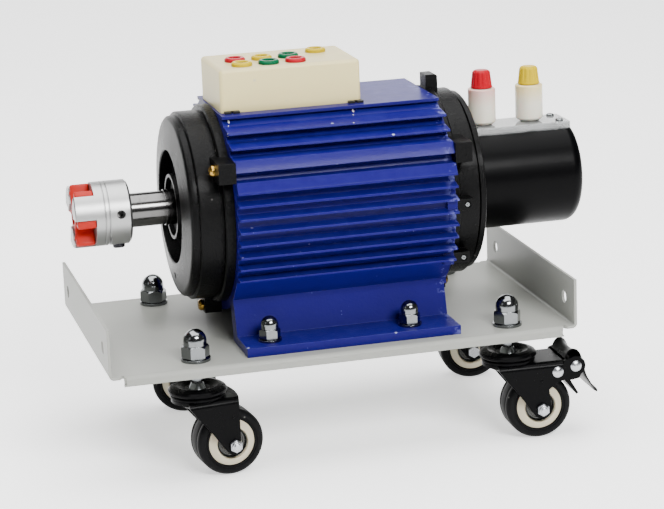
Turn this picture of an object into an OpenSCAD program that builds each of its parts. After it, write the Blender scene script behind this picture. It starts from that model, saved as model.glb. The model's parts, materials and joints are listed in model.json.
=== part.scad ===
// Three-phase generator demonstration model on a wheeled sheet-metal base.
// Every module draws in the machine's own axes: X along the shaft with the coupling at -X,
// Y across, and Z up from the top of the base plate. placed() then sets the floor at Z = 0.

/* [Base plate] */
// Length of the base plate along the shaft
plate_len = 330.7; // [325:0.1:340]
// Width of the base plate
plate_wid = 192.8; // [190:0.1:200]
// Thickness of the base sheet
sheet = 2; // [1.5:0.1:2.5]
// Outside radius of the bends in the sheet
bend_r = 3.5; // [3:0.1:5]
// Height of the end flanges above the plate's top
flange_rise = 33; // [28:0.1:40]
// Spacing of the two holes in an end flange
flange_pitch = 150; // [140:1:155]
// Height of the flange holes above the plate's top
flange_hole_z = 15.7; // [12:0.1:20]
// Radius of the flange holes
flange_hole_r = 4.5; // [3:0.1:6]
// Depth of the front and back lips below the plate's top
lip_drop = 7.05; // [6:0.05:10]
// Distance the lips stop short of the plate's ends
lip_inset = 10; // [8:0.5:14]

/* [Machine] */
// Height of the shaft above the base plate
shaft_h = 90; // [90:1:90]
// First end of the finned housing
frame_x0 = -68.5; // [-70:0.1:-66]
// Length of the finned housing
frame_len = 153.9; // [150:0.1:158]
// Radius of the housing under its fins
frame_r = 75.5; // [75:0.1:77]
// Radius that the fin tips follow
fin_r = 83.6; // [82:0.1:86]
// Height step from one fin to the next
fin_pitch = 9; // [8.5:0.1:9.2]
// Height of the lowest fin above the plate
fin_first_z = 50; // [49:0.5:52]
// Thickness of a fin at its tip
fin_tip = 1.3; // [1.2:0.1:2]
// Thickness of a fin at its root
fin_root = 5; // [4:0.1:5.6]
// Height of the flat top of the housing above the plate
pad_z = 158.7; // [158:0.1:160]
// Half the width of the flat top
pad_half = 41.4; // [38:0.1:44]
// Thickness of the flat top's overhanging edge
pad_lip = 2.2; // [1.8:0.1:3]
// Foot hole spacing along the shaft
foot_pitch_x = 100; // [100:1:100]
// Foot hole spacing across the shaft
foot_pitch_y = 140; // [140:1:140]
// First foot hole along the shaft
foot_hole_x = -48.8; // [-50:0.1:-47]
// Length of the feet
foot_len = 151.9; // [148:0.1:154]
// Distance from the shaft's plane to a foot's outer edge
foot_reach = 85.3; // [83:0.1:88]
// Thickness of the feet
foot_t = 6.25; // [5:0.05:8]

/* [End shields] */
// Radius of the edge band beside the housing
shield_r = 69.6; // [69:0.1:71]
// Radius of the cast drum of a shield
drum_r = 66; // [65:0.1:67]
// Outer radius of the drive face
face_r = 61; // [60:0.1:62]
// Circle diameter of the screw hole low in the drive face
face_circle = 100; // [98:0.5:101]
// Radius of the screw hole low in the drive face
tapped_r = 2.5; // [2:0.1:3]
// Radius of the recess in the drive face
recess_r = 39.75; // [38:0.05:42]
// Radius of the bearing boss inside the recess
boss_r = 22.9; // [22:0.1:24]
// Circle radius of the screws that hold a shield
ear_circle = 73.5; // [73:0.1:74.5]
// Distance from the axis to the outer side of an ear
ear_reach = 78; // [76:0.1:80]
// Half the width of an ear
ear_half = 7; // [6:0.1:8]
// Length of an ear along the shaft
ear_len = 12; // [10:0.1:13]
// Radius to the middle of the small rear ears
small_ear_circle = 74.5; // [73.5:0.1:75]
// Length of the small rear ears along the shaft
small_ear_len = 12; // [10:0.5:13]

/* [Shaft and coupling] */
// Diameter of the shaft in the coupling
shaft_d = 24; // [24:1:24]
// Diameter of the shaft in its bearings
journal_d = 25; // [25:1:25]
// End of the shaft inside the coupling
shaft_x0 = -152; // [-154:0.5:-150]
// Shoulder where the free shaft starts
shoulder_x = -104.8; // [-106:0.1:-103]
// Outside diameter of the jaw coupling
hub_d = 45; // [44:0.5:46]
// End of the coupling nearest the machine
hub_x1 = -130.4; // [-132:0.1:-129]
// Length of the solid part of the coupling
hub_len = 25.25; // [24:0.05:27]
// Length of the coupling's jaws
jaw_len = 14.45; // [13:0.05:16]
// Angle of one jaw about the shaft
jaw_angle = 45; // [40:1:50]
// Angle of one spider arm about the shaft
arm_angle = 17; // [14:0.5:20]
// Turn of the jaws about the shaft
jaw_turn = 24.8; // [20:0.1:30]

/* [Rear cover and posts] */
// Outside radius of the round rear cover
cover_r = 37.5; // [37:0.1:39]
// Length of the rear cover
cover_len = 84.25; // [80:0.05:86]
// Height of the flat on the cover above the shaft
cover_flat = 33; // [32.5:0.1:33.5]
// Distance of the clear terminal plate from the rear shield
clear_gap = 3.25; // [2:0.05:4]
// Length of the clear terminal plate
clear_len = 77; // [75:0.1:78]
// Width of the clear terminal plate
clear_wid = 29; // [27:0.1:32]
// Thickness of the clear terminal plate
clear_t = 5; // [4:0.1:6]
// Distance of the first binding post from the clear plate's end
post_inset = 15.4; // [14:0.1:17]
// Spacing of the two binding posts
post_pitch = 35.7; // [35:0.1:36.5]
// Radius of a binding post's body
post_r = 9.9; // [9:0.1:10.5]
// Height of a binding post's body
post_h = 25.6; // [23:0.1:28]
// Height of a coloured cap
cap_h = 12.7; // [12:0.1:15]
// Radius of a cap at its foot
cap_r0 = 7.6; // [7:0.1:8.5]
// Radius of a cap near its top
cap_r1 = 6.2; // [5.5:0.1:6.6]

/* [Terminal box] */
// First end of the terminal box
box_x0 = -67; // [-68:0.5:-62]
// Length of the terminal box
box_len = 99.5; // [94:0.5:104]
// Width of the terminal box
box_wid = 63; // [61:0.5:67]
// Height of the terminal box
box_h = 30.3; // [27:0.1:34]
// Rounding of the box's edges
box_r = 2.8; // [2:0.1:4]
// Wall of the box
box_wall = 2.5; // [2:0.1:2.5]
// Spacing of the sockets in the two rows
socket_pitch = 19; // [18:0.5:20]
// First socket of the front row, along the box
socket_x = -48.6; // [-50:0.1:-46]
// Distance of the front row from the box's front
row_inset = 11; // [9.8:0.1:13]
// Position of the single seventh socket along the box
lone_x = 11.6; // [9:0.1:14]
// Position of the single seventh socket across the box
lone_y = 11; // [9:0.1:14]
// Outside radius of a socket's collar
collar_r = 7.25; // [7:0.05:7.6]
// Height of a socket's collar
collar_h = 2.8; // [2.5:0.1:4]
// Width of a clip under the box's edge
clip_w = 10.5; // [10:0.5:12]
// How far the clips stand out of the box
clip_out = 3.5; // [3:0.1:5]
// Radius of the hole that takes a 4 mm plug
plug_r = 2.02; // [2:0.01:2.1]
// Length of the socket's metal tube
plug_len = 20; // [18:0.5:22]

/* [Fasteners] */
// Foot bolt thread diameter
foot_bolt_d = 8; // [8:1:8]
// Foot nut width across flats
foot_nut_af = 13; // [13:1:13]
// Height of a foot cap nut
foot_nut_h = 16; // [13:0.5:17]
// Radius of a foot washer
foot_washer_r = 8.2; // [8:0.1:9]
// Thickness of a foot washer
foot_washer_t = 1.6; // [1.2:0.1:2]
// Caster stem thread diameter
stem_d = 10; // [10:1:10]
// Stem cap nut width across flats
stem_nut_af = 17; // [17:1:17]
// Height of a stem cap nut
stem_nut_h = 20; // [16:0.5:20]
// Radius of a stem washer
stem_washer_r = 10.2; // [10:0.1:11]
// Thickness of a stem washer
stem_washer_t = 2; // [1.5:0.1:2.5]

/* [Casters] */
// Height from the floor to the underside of the base plate
caster_h = 80.4; // [80:0.1:82]
// Stem position towards the coupling
stem_x0 = -102.4; // [-104:0.1:-100]
// Stem position towards the rear cover
stem_x1 = 120.6; // [118:0.1:122]
// Stem distance from the shaft's plane
stem_y = 75.9; // [74:0.1:77]
// Offset of the wheel's axle from the stem
trail = 19.2; // [18:0.1:21]
// Radius of the tyre
tyre_r = 23.6; // [23:0.1:24.4]
// Width of the tyre
tyre_w = 21.6; // [20:0.1:23]
// Radius where the tyre meets the rim
rim_r = 16.35; // [15.5:0.05:17]
// Half the width over the hub of the rim
hub_half = 15; // [14:0.1:15.4]
// Diameter of the axle bolt
axle_d = 5; // [5:1:5]
// Width across the flats of the axle nut
axle_af = 8; // [8:1:8]
// Half the outside width of a fork
fork_half = 18.5; // [18:0.1:19.5]
// Thickness of the fork's sheet
fork_t = 2.5; // [2:0.1:2.6]
// Outside radius of the fork's two bends
fork_bend = 4.5; // [3.5:0.1:5]
// Outside radius of the fixed cup on the stem
cup_r = 20.2; // [19.5:0.1:20.6]
// Outside radius of the fork's crown under the cup
crown_r = 19; // [18:0.1:19.4]
// Swivel of the front caster at the coupling end
swivel_fl = 6.5; // [-180:0.1:180]
// Swivel of the front caster at the rear cover end
swivel_fr = -1.8; // [-180:0.1:180]
// Swivel of the back caster at the rear cover end
swivel_br = -6.7; // [-180:0.1:180]
// Swivel of the back caster at the coupling end
swivel_bl = -10.8; // [-180:0.1:180]

/* [Brake] */
// Distance of the shoe's pin from the stem
shoe_pin_t = 30.8; // [30:0.1:32]
// Height of the shoe's pin below the plate's top
shoe_pin_z = -32.7; // [-33:0.1:-32]
// Distance of the pedal's pin from the stem
pedal_pin_t = 44.1; // [43:0.1:45]
// Height of the pedal's pin below the plate's top
pedal_pin_z = -29.7; // [-30:0.1:-29]
// Radius of the brake pins
brake_pin_r = 2; // [2:0.1:2.5]
// Radius of the domed heads of the brake pins
brake_head_r = 4; // [3.5:0.1:4.5]
// Length of the shoe from its pin to its tip
shoe_len = 24.4; // [23:0.1:25]
// Slope of the shoe when the brake is free
shoe_lean = -52; // [-53:0.5:-51]
// Thickness of the pedal and shoe sheet
lever_t = 1.8; // [1.5:0.1:2]

/* [Fits] */
// Gap between pieces that move past each other
clear = 0.3; // [0.3:0.05:0.5]
// Radial gap of a pin or shaft in its running hole
run_fit = 0.05; // [0.03:0.01:0.1]

/* [Hidden] */
$fn = 96;
deck_z = caster_h + sheet;
jaw_tip_x = hub_x1 - hub_len - jaw_len;
frame_x1 = frame_x0 + frame_len;
cover_x0 = frame_x1 + 26.35;
cover_x1 = cover_x0 + cover_len;
mid_x = (jaw_tip_x + cover_x1) / 2;
frame_mid = frame_x0 + frame_len / 2;
foot_x0 = foot_hole_x - (foot_len - foot_pitch_x) / 2 + 6.5;
journal_r = journal_d / 2;
shaft_r = shaft_d / 2;
bearing_r = 26;
bearing_w = 15;
race_r = 17;
bearing_x0 = frame_x0 - 19;
bearing_x1 = frame_x1 + 6.1;
register_r = 64.3;
register_l = 8;
shield_bore_r = 60;
bore_r = 62.5;
core_len = 90;
core_x0 = frame_mid - core_len / 2;
stator_in_r = 40;
slots = 24;
slot_r0 = 43;
slot_r1 = 56;
slot_w = 6;
rotor_r = 39.6;
rotor_bore_r = 15;
pole_w = 22;
pole_r0 = 18.5;
pole_r1 = 29.5;
coil_t = 7;
ext_r = 8;
sleeve_r = 12.5;
ring_r = 16;
ring_w = 10;
cover_in_r = 31;
clear_x0 = cover_x0 + clear_gap;
post_x = clear_x0 + post_inset;
clear_z = shaft_h + cover_flat;
clear_top = clear_z + clear_t;
stud_r = 3;
stud_flange_t = 1.3;
ear_angles = [30, 150, 270];
small_angles = [0, -33, 180, 213];
hub_r = hub_d / 2;
hub_bore_r = shaft_r;
set_x = hub_x1 - 8;
jaw_r0 = 9;
gap_angle = 120 - jaw_angle;
axle_r = axle_d / 2;
axle_z = -(deck_z - tyre_r);
fork_top = -25.3;
crown_z = -32.5;
cup_z = -19.5;
brake_plate_end = 35.5;
king_r = 4;
box_z1 = pad_z + box_h;
collar_hole_r = 4;
clip_t = 1.6;
clip_places = [box_x0 + 2, box_x0 + box_len - clip_w + 0.7];
shank_r = 5.4;
socket_nut_r = shank_r + 1.6;
socket_y = row_inset - box_wid / 2;
screw_r = 2.5;
small_screw_r = 1.25;
small_head_r = 2;
small_screw_x = 7.5;
foot_bolt_r = foot_bolt_d / 2;
stem_r = stem_d / 2;
casters = [
  [stem_x0, -stem_y, swivel_fl],
  [stem_x1, -stem_y, swivel_fr],
  [stem_x1, stem_y, swivel_br],
  [stem_x0, stem_y, swivel_bl]
];

cream = [0.86, 0.83, 0.74];
black = [0.07, 0.07, 0.08];
zinc = [0.78, 0.79, 0.8];
blue = [0.1, 0.16, 0.55];
grey = [0.78, 0.79, 0.75];
steel = [0.6, 0.61, 0.62];
copper = [0.72, 0.4, 0.2];
brass = [0.8, 0.66, 0.34];
red = [0.75, 0.13, 0.16];
yellow = [0.9, 0.76, 0.12];
green = [0.1, 0.5, 0.32];
spider_red = [0.85, 0.28, 0.22];

module placed() translate([-mid_x, 0, deck_z]) children();
module on_axis() translate([0, 0, shaft_h]) rotate([0, 90, 0]) children();
module turned(points) on_axis() rotate_extrude() polygon(points);
// A round bar along the shaft's direction, from x0 to x1, at a place across and up from the axis
module bar_x(x0, x1, r, y = 0, z = 0)
  translate([x0, y, shaft_h + z]) rotate([0, 90, 0]) cylinder(h = x1 - x0, r = r);
// A place on a circle about the shaft; the angle counts from the front side upwards
module at_angle(a, r) translate([0, -r * cos(a), r * sin(a)]) children();
module in_caster(i) translate([casters[i][0], casters[i][1], 0]) rotate([0, 0, casters[i][2]]) children();
module across(w) rotate([90, 0, 0]) linear_extrude(height = w, center = true) children();
module both_sides() {
  children();
  mirror([0, 1, 0]) children();
}
function wedge(a0, a1, r) =
  [[0, 0], for (i = [0:4]) let (a = a0 + (a1 - a0) * i / 4) [r * cos(a), r * sin(a)]];

// A folded strip of sheet along a row of points, seen from its edge
module strip(p, t) {
  for (i = [0:len(p) - 2]) {
    d = p[i + 1] - p[i];
    translate(p[i]) rotate(atan2(d[1], d[0])) translate([0, -t / 2]) square([norm(d), t]);
  }
  for (q = p)
    translate(q) circle(r = t / 2, $fn = 32);
}

// A quarter bend seen from its edge, with the outside corner at the origin
module bend_edge() {
  intersection() {
    difference() {
      circle(r = bend_r);
      circle(r = bend_r - sheet);
    }
    square([bend_r, bend_r]);
  }
}

module hex_bar(af, h) cylinder(h = h, r = af / sqrt(3), $fn = 6);

// A domed cap nut standing at the origin, blind from below
module cap_nut(af, h, r, deep) {
  hex_h = 0.45 * h;
  dome_r = 0.47 * af;
  difference() {
    union() {
      intersection() {
        hex_bar(af, hex_h);
        rotate_extrude() polygon([
          [0, 0], [af / 2 + 0.3, 0], [af / sqrt(3) + 0.1, 0.06 * af], [af / sqrt(3) + 0.1, hex_h - 0.1 * af],
          [af / 2, hex_h], [0, hex_h]
        ]);
      }
      translate([0, 0, hex_h]) cylinder(h = h - hex_h - dome_r, r = dome_r);
      translate([0, 0, h - dome_r]) sphere(r = dome_r);
    }
    translate([0, 0, -1]) cylinder(h = deep + 1, r = r);
  }
}

// A pan-head screw with a cross recess; the head's seat is at the origin and the shank goes down
module pan_screw(head_r, head_h, r, l) {
  difference() {
    union() {
      cylinder(h = head_h * 0.6, r = head_r);
      translate([0, 0, head_h * 0.6]) cylinder(h = head_h * 0.4, r1 = head_r, r2 = head_r * 0.72);
      translate([0, 0, -l]) cylinder(h = l, r = r);
    }
    for (a = [0, 90])
      rotate([0, 0, a]) translate([-head_r * 0.55, -head_r * 0.09, head_h * 0.45])
        cube([head_r * 1.1, head_r * 0.18, head_h]);
  }
}

module base_plate() {
  half_l = plate_len / 2;
  half_w = plate_wid / 2;
  deck_w = half_w - bend_r;
  lip_half = half_l - lip_inset;
  color(grey) placed() {
    difference() {
      union() {
        // the deck, with its free edges at the four corners
        translate([-half_l + bend_r, -deck_w, -sheet]) cube([2 * (half_l - bend_r), 2 * deck_w, sheet]);
        for (side = [-1, 1])
          translate([side > 0 ? lip_half + 1.5 : -half_l + bend_r, -half_w + 0.8, -sheet])
            cube([lip_inset - bend_r - 1.5, 2 * half_w - 1.6, sheet]);
        // front and back lips turned down
        for (side = [-1, 1])
          mirror([0, side > 0 ? 0 : 1, 0]) {
            translate([-lip_half, deck_w, -bend_r])
              rotate([90, 0, 90]) linear_extrude(height = 2 * lip_half) bend_edge();
            translate([-lip_half, half_w - sheet, -lip_drop])
              cube([2 * lip_half, sheet, lip_drop - bend_r]);
          }
        // end flanges turned up
        for (side = [-1, 1])
          mirror([side > 0 ? 0 : 1, 0, 0]) {
            translate([half_l - bend_r, half_w - 0.8, -sheet + bend_r])
              rotate([90, 0, 0]) linear_extrude(height = 2 * half_w - 1.6) mirror([0, 1]) bend_edge();
            translate([half_l - sheet, -half_w + 0.8, -sheet + bend_r])
              cube([sheet, 2 * half_w - 1.6, flange_rise + sheet - bend_r]);
          }
      }
      for (side = [-1, 1], y = [-0.5, 0.5])
        translate([side * (half_l - sheet) - 2 * sheet, y * flange_pitch, flange_hole_z])
          rotate([0, 90, 0]) cylinder(h = 4 * sheet, r = flange_hole_r);
      for (c = casters)
        translate([c[0], c[1], -2 * sheet]) cylinder(h = 3 * sheet, r = stem_r);
      foot_places() translate([0, 0, -2 * sheet]) cylinder(h = 3 * sheet, r = foot_bolt_r);
      // small reliefs where a bend stops
      for (side = [-1, 1], end = [-1, 1])
        translate([end * (lip_half + 0.75), side * half_w, -3 * sheet]) cylinder(h = 5 * sheet, r = 2.2);
    }
  }
}

module foot_places()
  for (i = [0, 1], side = [-1, 1])
    translate([foot_hole_x + i * foot_pitch_x, side * foot_pitch_y / 2, 0]) children();

module foot_bolts() {
  color(zinc) placed() foot_places() {
    translate([0, 0, -sheet - 5.3]) hex_bar(foot_nut_af, 5.3);
    translate([0, 0, -sheet]) cylinder(h = sheet + foot_t + foot_washer_t + 9, r = foot_bolt_r);
  }
}

module foot_washers() {
  color(zinc) placed() foot_places() translate([0, 0, foot_t]) difference() {
    cylinder(h = foot_washer_t, r = foot_washer_r);
    translate([0, 0, -1]) cylinder(h = foot_washer_t + 2, r = foot_bolt_r);
  }
}

module foot_cap_nuts() {
  color(zinc) placed() foot_places() translate([0, 0, foot_t + foot_washer_t])
    cap_nut(foot_nut_af, foot_nut_h, foot_bolt_r, 9);
}

// Distance from the shaft's plane of a circle about the shaft, at a height
function circle_y(r, z) = sqrt(r * r - pow(z - shaft_h, 2));

// One fin on the front side, tapered from the tube to the tip circle
module fin_edge(z) {
  root_y = circle_y(frame_r, z) + 0.4;
  tip_y = circle_y(fin_r, z);
  polygon([
    [-40, z - fin_root / 2], [-40, z + fin_root / 2], [-root_y, z + fin_root / 2],
    [-tip_y, z + fin_tip / 2], [-tip_y, z - fin_tip / 2], [-root_y, z - fin_root / 2]
  ]);
}

module housing_section() {
  intersection() {
    translate([0, shaft_h]) circle(r = fin_r);
    for (side = [0, 1])
      mirror([side, 0]) {
        for (k = [0:6])
          fin_edge(fin_first_z + k * fin_pitch);
        for (k = [10, 11])
          fin_edge(fin_first_z + k * fin_pitch + 0.4);
      }
  }
  // two broad bands with a groove between them, beside the shield screws
  intersection() {
    translate([0, shaft_h]) circle(r = fin_r + 1.2);
    for (side = [0, 1])
      mirror([side, 0]) {
        polygon([[-40, 126], [-40, 136], [-74, 133.8], [-fin_r, 128], [-fin_r, 126.5]]);
        polygon([[-40, 111], [-40, 121.5], [-77, 119.8], [-fin_r + 2.6, 114], [-fin_r + 1, 112.2]]);
      }
  }
  intersection() {
    translate([0, shaft_h]) circle(r = frame_r);
    translate([-frame_r, 0]) square([2 * frame_r, pad_z]);
  }
  translate([-pad_half, pad_z - pad_lip]) square([2 * pad_half, pad_lip]);
  // neck that carries the flat top at any height
  translate([-pad_half / 2, shaft_h]) square([pad_half, pad_z - shaft_h]);
  for (side = [0, 1])
    mirror([side, 0]) polygon([[-56, 0], [-54, 7], [-46.5, 32], [-45, 46], [-34, 46], [-37, 26], [-42, 0]]);
}

module stator_housing() {
  color(blue) placed() difference() {
    union() {
      translate([frame_x0, 0, 0]) rotate([90, 0, 90]) linear_extrude(height = frame_len)
        difference() {
          housing_section();
          translate([-200, -1]) square([400, 1]);
        }
      both_sides() translate([foot_x0, -foot_reach, 0]) cube([foot_len, foot_reach - 42, foot_t]);
      // screw bosses at both ends
      for (x = [frame_x0, frame_x1 - 16], a = [ear_angles[0], ear_angles[1]])
        at_angle(a, ear_circle) bar_x(x, x + 16, 5.4);
      for (x = [frame_x0, frame_x1 - 16])
        translate([x, -ear_half + 0.6, shaft_h - ear_reach + 1.6])
          cube([16, 2 * ear_half - 1.2, 20]);
      for (a = small_angles)
        at_angle(a, small_ear_circle) translate([frame_x1 - 7, -4.5, shaft_h - 4]) cube([7, 9, 8]);
    }
    bar_x(frame_x0 - 1, frame_x1 + 1, bore_r);
    bar_x(frame_x0 - 1, frame_x0 + register_l, register_r);
    bar_x(frame_x1 - register_l, frame_x1 + 1, register_r);
    for (a = ear_angles)
      at_angle(a, ear_circle) {
        bar_x(frame_x0 - 1, frame_x0 + 9, screw_r);
        bar_x(frame_x1 - 9, frame_x1 + 1, screw_r);
      }
    foot_places() translate([0, 0, -1]) cylinder(h = foot_t + 2, r = foot_bolt_r);
    // lead hole up into the terminal box
    translate([box_x0 + box_len / 2, 0, shaft_h]) cylinder(h = frame_r + 2, r = 10);
    // the legs stop level with the feet
    for (end = [0, 1])
      translate([end ? foot_x0 + foot_len : frame_x0 - 1, -60, -1])
        cube([end ? frame_x1 + 1 - foot_x0 - foot_len : foot_x0 - frame_x0 + 1, 120, 28]);
  }
}

module stator_core() {
  color(steel) placed() difference() {
    bar_x(core_x0, core_x0 + core_len, bore_r);
    bar_x(core_x0 - 1, core_x0 + core_len + 1, stator_in_r);
    for (i = [0:slots - 1])
      translate([core_x0 - 1, 0, shaft_h]) rotate([i * 360 / slots, 0, 0]) {
        translate([0, -slot_w / 2, slot_r0]) cube([core_len + 2, slot_w, slot_r1 - slot_r0]);
        translate([0, -1.3, stator_in_r - 2]) cube([core_len + 2, 2.6, slot_r0 - stator_in_r + 3]);
      }
  }
}

module stator_windings() {
  end_l = 18;
  color(copper) placed() {
    for (x = [core_x0 - end_l, core_x0 + core_len])
      difference() {
        bar_x(x, x + end_l, slot_r1 + 2);
        bar_x(x - 1, x + end_l + 1, slot_r0 + 1);
      }
    for (i = [0:slots - 1])
      translate([core_x0 - 1, 0, shaft_h]) rotate([i * 360 / slots, 0, 0])
        translate([0, -slot_w / 2 + clear, slot_r0 + 1])
          cube([core_len + 2, slot_w - 2 * clear, slot_r1 - slot_r0 - 1]);
  }
}

// The ears of a shield: two level blocks beside the bands and one under the axis
module ears(x0, l) {
  rise = ear_circle * sin(ear_angles[0]);
  both_sides() translate([x0, -ear_reach, shaft_h + rise - ear_half])
    cube([l, ear_reach - 50, 2 * ear_half]);
  translate([x0, -ear_half, shaft_h - ear_reach]) cube([l, 2 * ear_half, ear_reach - 55]);
}

module drive_end_shield() {
  x = frame_x0;
  color(black) placed() difference() {
    union() {
      turned([
        [0, x], [shield_r, x], [shield_r, x - 6], [shield_r - 1, x - 7], [drum_r - 1.5, x - 7],
        [drum_r - 1.5, x - 9], [drum_r, x - 9], [drum_r, x - 22.7], [drum_r - 0.8, x - 23.5],
        [drum_r - 2.4, x - 23.7], [drum_r - 2.4, x - 26], [face_r + 2.2, x - 27.8], [face_r + 0.8, x - 29],
        [face_r - 0.5, x - 29.4], [recess_r + 1, x - 31.8], [recess_r, x - 31.2], [recess_r, x - 22],
        [boss_r + 1.6, x - 22], [boss_r, x - 31], [0, x - 31]
      ]);
      ears(x - ear_len, ear_len);
      turned([[0, x - 1], [register_r, x - 1], [register_r, x + 6], [0, x + 6]]);
    }
    // hollow inside, with the bearing's hub left standing
    turned([
      [bearing_r + 5, x - 4], [bearing_r + 5, x - 16], [shield_bore_r - 2, x - 16],
      [shield_bore_r, x + 7], [0, x + 7], [0, x - 4]
    ]);
    bar_x(bearing_x0, x + 7, bearing_r);
    bar_x(x - 40, x, race_r + 1);
    bar_x(x - 40, x - 21.5, boss_r - 2.3);
    for (a = ear_angles)
      at_angle(a, ear_circle) bar_x(x - ear_len - 1, x + 1, screw_r);
    // screw hole low in the drive face
    at_angle(270, face_circle / 2) bar_x(x - 40, x - 22, tapped_r);
  }
}

module rear_end_shield() {
  x = frame_x1;
  color(black) placed() difference() {
    union() {
      turned([
        [0, x], [shield_r, x], [shield_r, x + 5], [shield_r - 1, x + 6], [drum_r + 0.5, x + 6],
        [drum_r + 0.5, x + 20], [drum_r - 4, x + 20.6], [drum_r - 4, x + 22], [drum_r - 2.2, x + 22.4],
        [drum_r - 2.2, x + 25.8], [drum_r - 2.8, x + 26.35], [0, x + 26.35]
      ]);
      ears(x, ear_len);
      turned([[0, x + 1], [register_r, x + 1], [register_r, x - 6], [0, x - 6]]);
      small_screw_places() translate([-small_screw_x, -4, -15.5]) cube([small_ear_len, 8, 15.5]);
      // upright lug on top
      translate([x + 1.3, -7, shaft_h + shield_r - 6]) cube([8.7, 14, 12.3]);
      translate([x + 1.3, -7, shaft_h + shield_r + 5.3]) cube([6.7, 14, 4]);
      translate([x + 8, 7, shaft_h + shield_r + 7.3]) rotate([90, 0, 0]) cylinder(h = 14, r = 2);
    }
    turned([
      [bearing_r + 5, x + 4], [bearing_r + 5, x + 18], [shield_bore_r - 2, x + 18],
      [shield_bore_r, x - 7], [0, x - 7], [0, x + 4]
    ]);
    bar_x(x - 7, bearing_x1 + bearing_w, bearing_r);
    bar_x(x, x + 30, race_r + 1);
    bar_x(cover_x0 - 4, x + 30, cover_r - 2.5);
    for (a = ear_angles)
      at_angle(a, ear_circle) bar_x(x - 1, x + ear_len + 1, screw_r);
    small_screw_places() {
      translate([0, 0, -1.3]) cylinder(h = 2, r = small_head_r + clear);
      translate([0, 0, -9]) cylinder(h = 10, r = small_screw_r);
    }
  }
}

module shield_screws() {
  color(brass) placed() for (a = ear_angles)
    at_angle(a, ear_circle) {
      translate([frame_x0 - ear_len, 0, shaft_h]) rotate([0, -90, 0]) pan_screw(4, 3.4, screw_r, 19);
      translate([frame_x1 + ear_len, 0, shaft_h]) rotate([0, 90, 0]) pan_screw(4, 3.4, screw_r, 19);
    }
}

// The small ears' outer faces, with Z pointing outwards
module small_screw_places() for (a = small_angles)
  at_angle(a, small_ear_circle)
    translate([frame_x1 + small_screw_x, cos(a) > 0 ? -4.5 : 4.5, shaft_h])
      rotate([cos(a) > 0 ? 90 : -90, 0, 0]) children();

module rear_small_screws() {
  color(zinc) placed() small_screw_places() translate([0, 0, -1.3])
    pan_screw(small_head_r, 1.1, small_screw_r, 7);
}

module bearing_outer_rings() {
  color(steel) placed() for (x = [bearing_x0, bearing_x1])
    turned([
      [race_r + run_fit, x + 1], [race_r + run_fit, x + bearing_w - 1], [race_r + 1.5, x + bearing_w - 0.4],
      [race_r + 5, x + bearing_w - 0.4], [race_r + 5, x + bearing_w], [bearing_r, x + bearing_w],
      [bearing_r, x], [race_r + 5, x], [race_r + 5, x + 0.4], [race_r + 1.5, x + 0.4]
    ]);
}

module bearing_inner_rings() {
  color(zinc) placed() for (x = [bearing_x0, bearing_x1])
    turned([[journal_r, x], [race_r, x], [race_r, x + bearing_w], [journal_r, x + bearing_w]]);
}

module shaft_seal() {
  x = frame_x0 - 27.5;
  color(black) placed() turned([
    [boss_r - 2.3, x], [boss_r - 2.3, x + 5], [journal_r + 1.5, x + 5],
    [journal_r + run_fit, x + 3], [journal_r + run_fit, x + 2], [journal_r + 2.5, x]
  ]);
}

module shaft() {
  color(steel) placed() turned([
    [0, shaft_x0], [shaft_r - 0.8, shaft_x0], [shaft_r, shaft_x0 + 0.8], [shaft_r, shoulder_x],
    [journal_r, shoulder_x], [journal_r, bearing_x0 + bearing_w], [rotor_bore_r + 2, bearing_x0 + bearing_w],
    [rotor_bore_r + 2, core_x0 - 6], [rotor_bore_r, core_x0 - 6], [rotor_bore_r, bearing_x1],
    [journal_r, bearing_x1], [journal_r, bearing_x1 + bearing_w + 3], [ext_r, bearing_x1 + bearing_w + 3],
    [ext_r, cover_x1 - 13], [ext_r - 0.8, cover_x1 - 12.2], [0, cover_x1 - 12.2]
  ]);
}

module rotor_core() {
  color(steel) placed() difference() {
    union() {
      bar_x(core_x0, core_x0 + core_len, pole_r0);
      for (a = [0:90:270])
        translate([core_x0, 0, shaft_h]) rotate([a, 0, 0]) {
          translate([0, -pole_w / 2, 0]) cube([core_len, pole_w, pole_r1 + 1]);
          intersection() {
            rotate([0, 90, 0]) cylinder(h = core_len, r = rotor_r);
            translate([0, -rotor_r, pole_r1]) cube([core_len, 2 * rotor_r, rotor_r]);
          }
        }
    }
    bar_x(core_x0 - 1, core_x0 + core_len + 1, rotor_bore_r);
  }
}

module rotor_windings() {
  w = pole_w / 2 + coil_t - 0.2;
  l = core_len + 2 * coil_t;
  color(copper) placed() for (a = [0:90:270])
    translate([frame_mid, 0, shaft_h]) rotate([a, 0, 0]) difference() {
      translate([-l / 2, -w, pole_r0]) cube([l, 2 * w, pole_r1 - pole_r0]);
      translate([-core_len / 2, -pole_w / 2, 0]) cube([core_len, pole_w, pole_r1 + 1]);
    }
}

module slip_ring_sleeve() {
  color(cream) placed() turned([
    [ext_r, bearing_x1 + bearing_w + 3], [sleeve_r - 2, bearing_x1 + bearing_w + 3],
    [sleeve_r, cover_x0 + 3], [sleeve_r, cover_x1 - 15], [ext_r, cover_x1 - 15]
  ]);
}

module slip_rings() {
  color(brass) placed() for (i = [0, 1])
    turned([
      [sleeve_r, post_x + i * post_pitch - ring_w / 2], [ring_r, post_x + i * post_pitch - ring_w / 2],
      [ring_r, post_x + i * post_pitch + ring_w / 2], [sleeve_r, post_x + i * post_pitch + ring_w / 2]
    ]);
}

module jaw_axis() translate([jaw_tip_x, 0, shaft_h]) rotate([90 - jaw_turn, 0, 0])
  rotate([0, 90, 0]) children();

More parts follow.
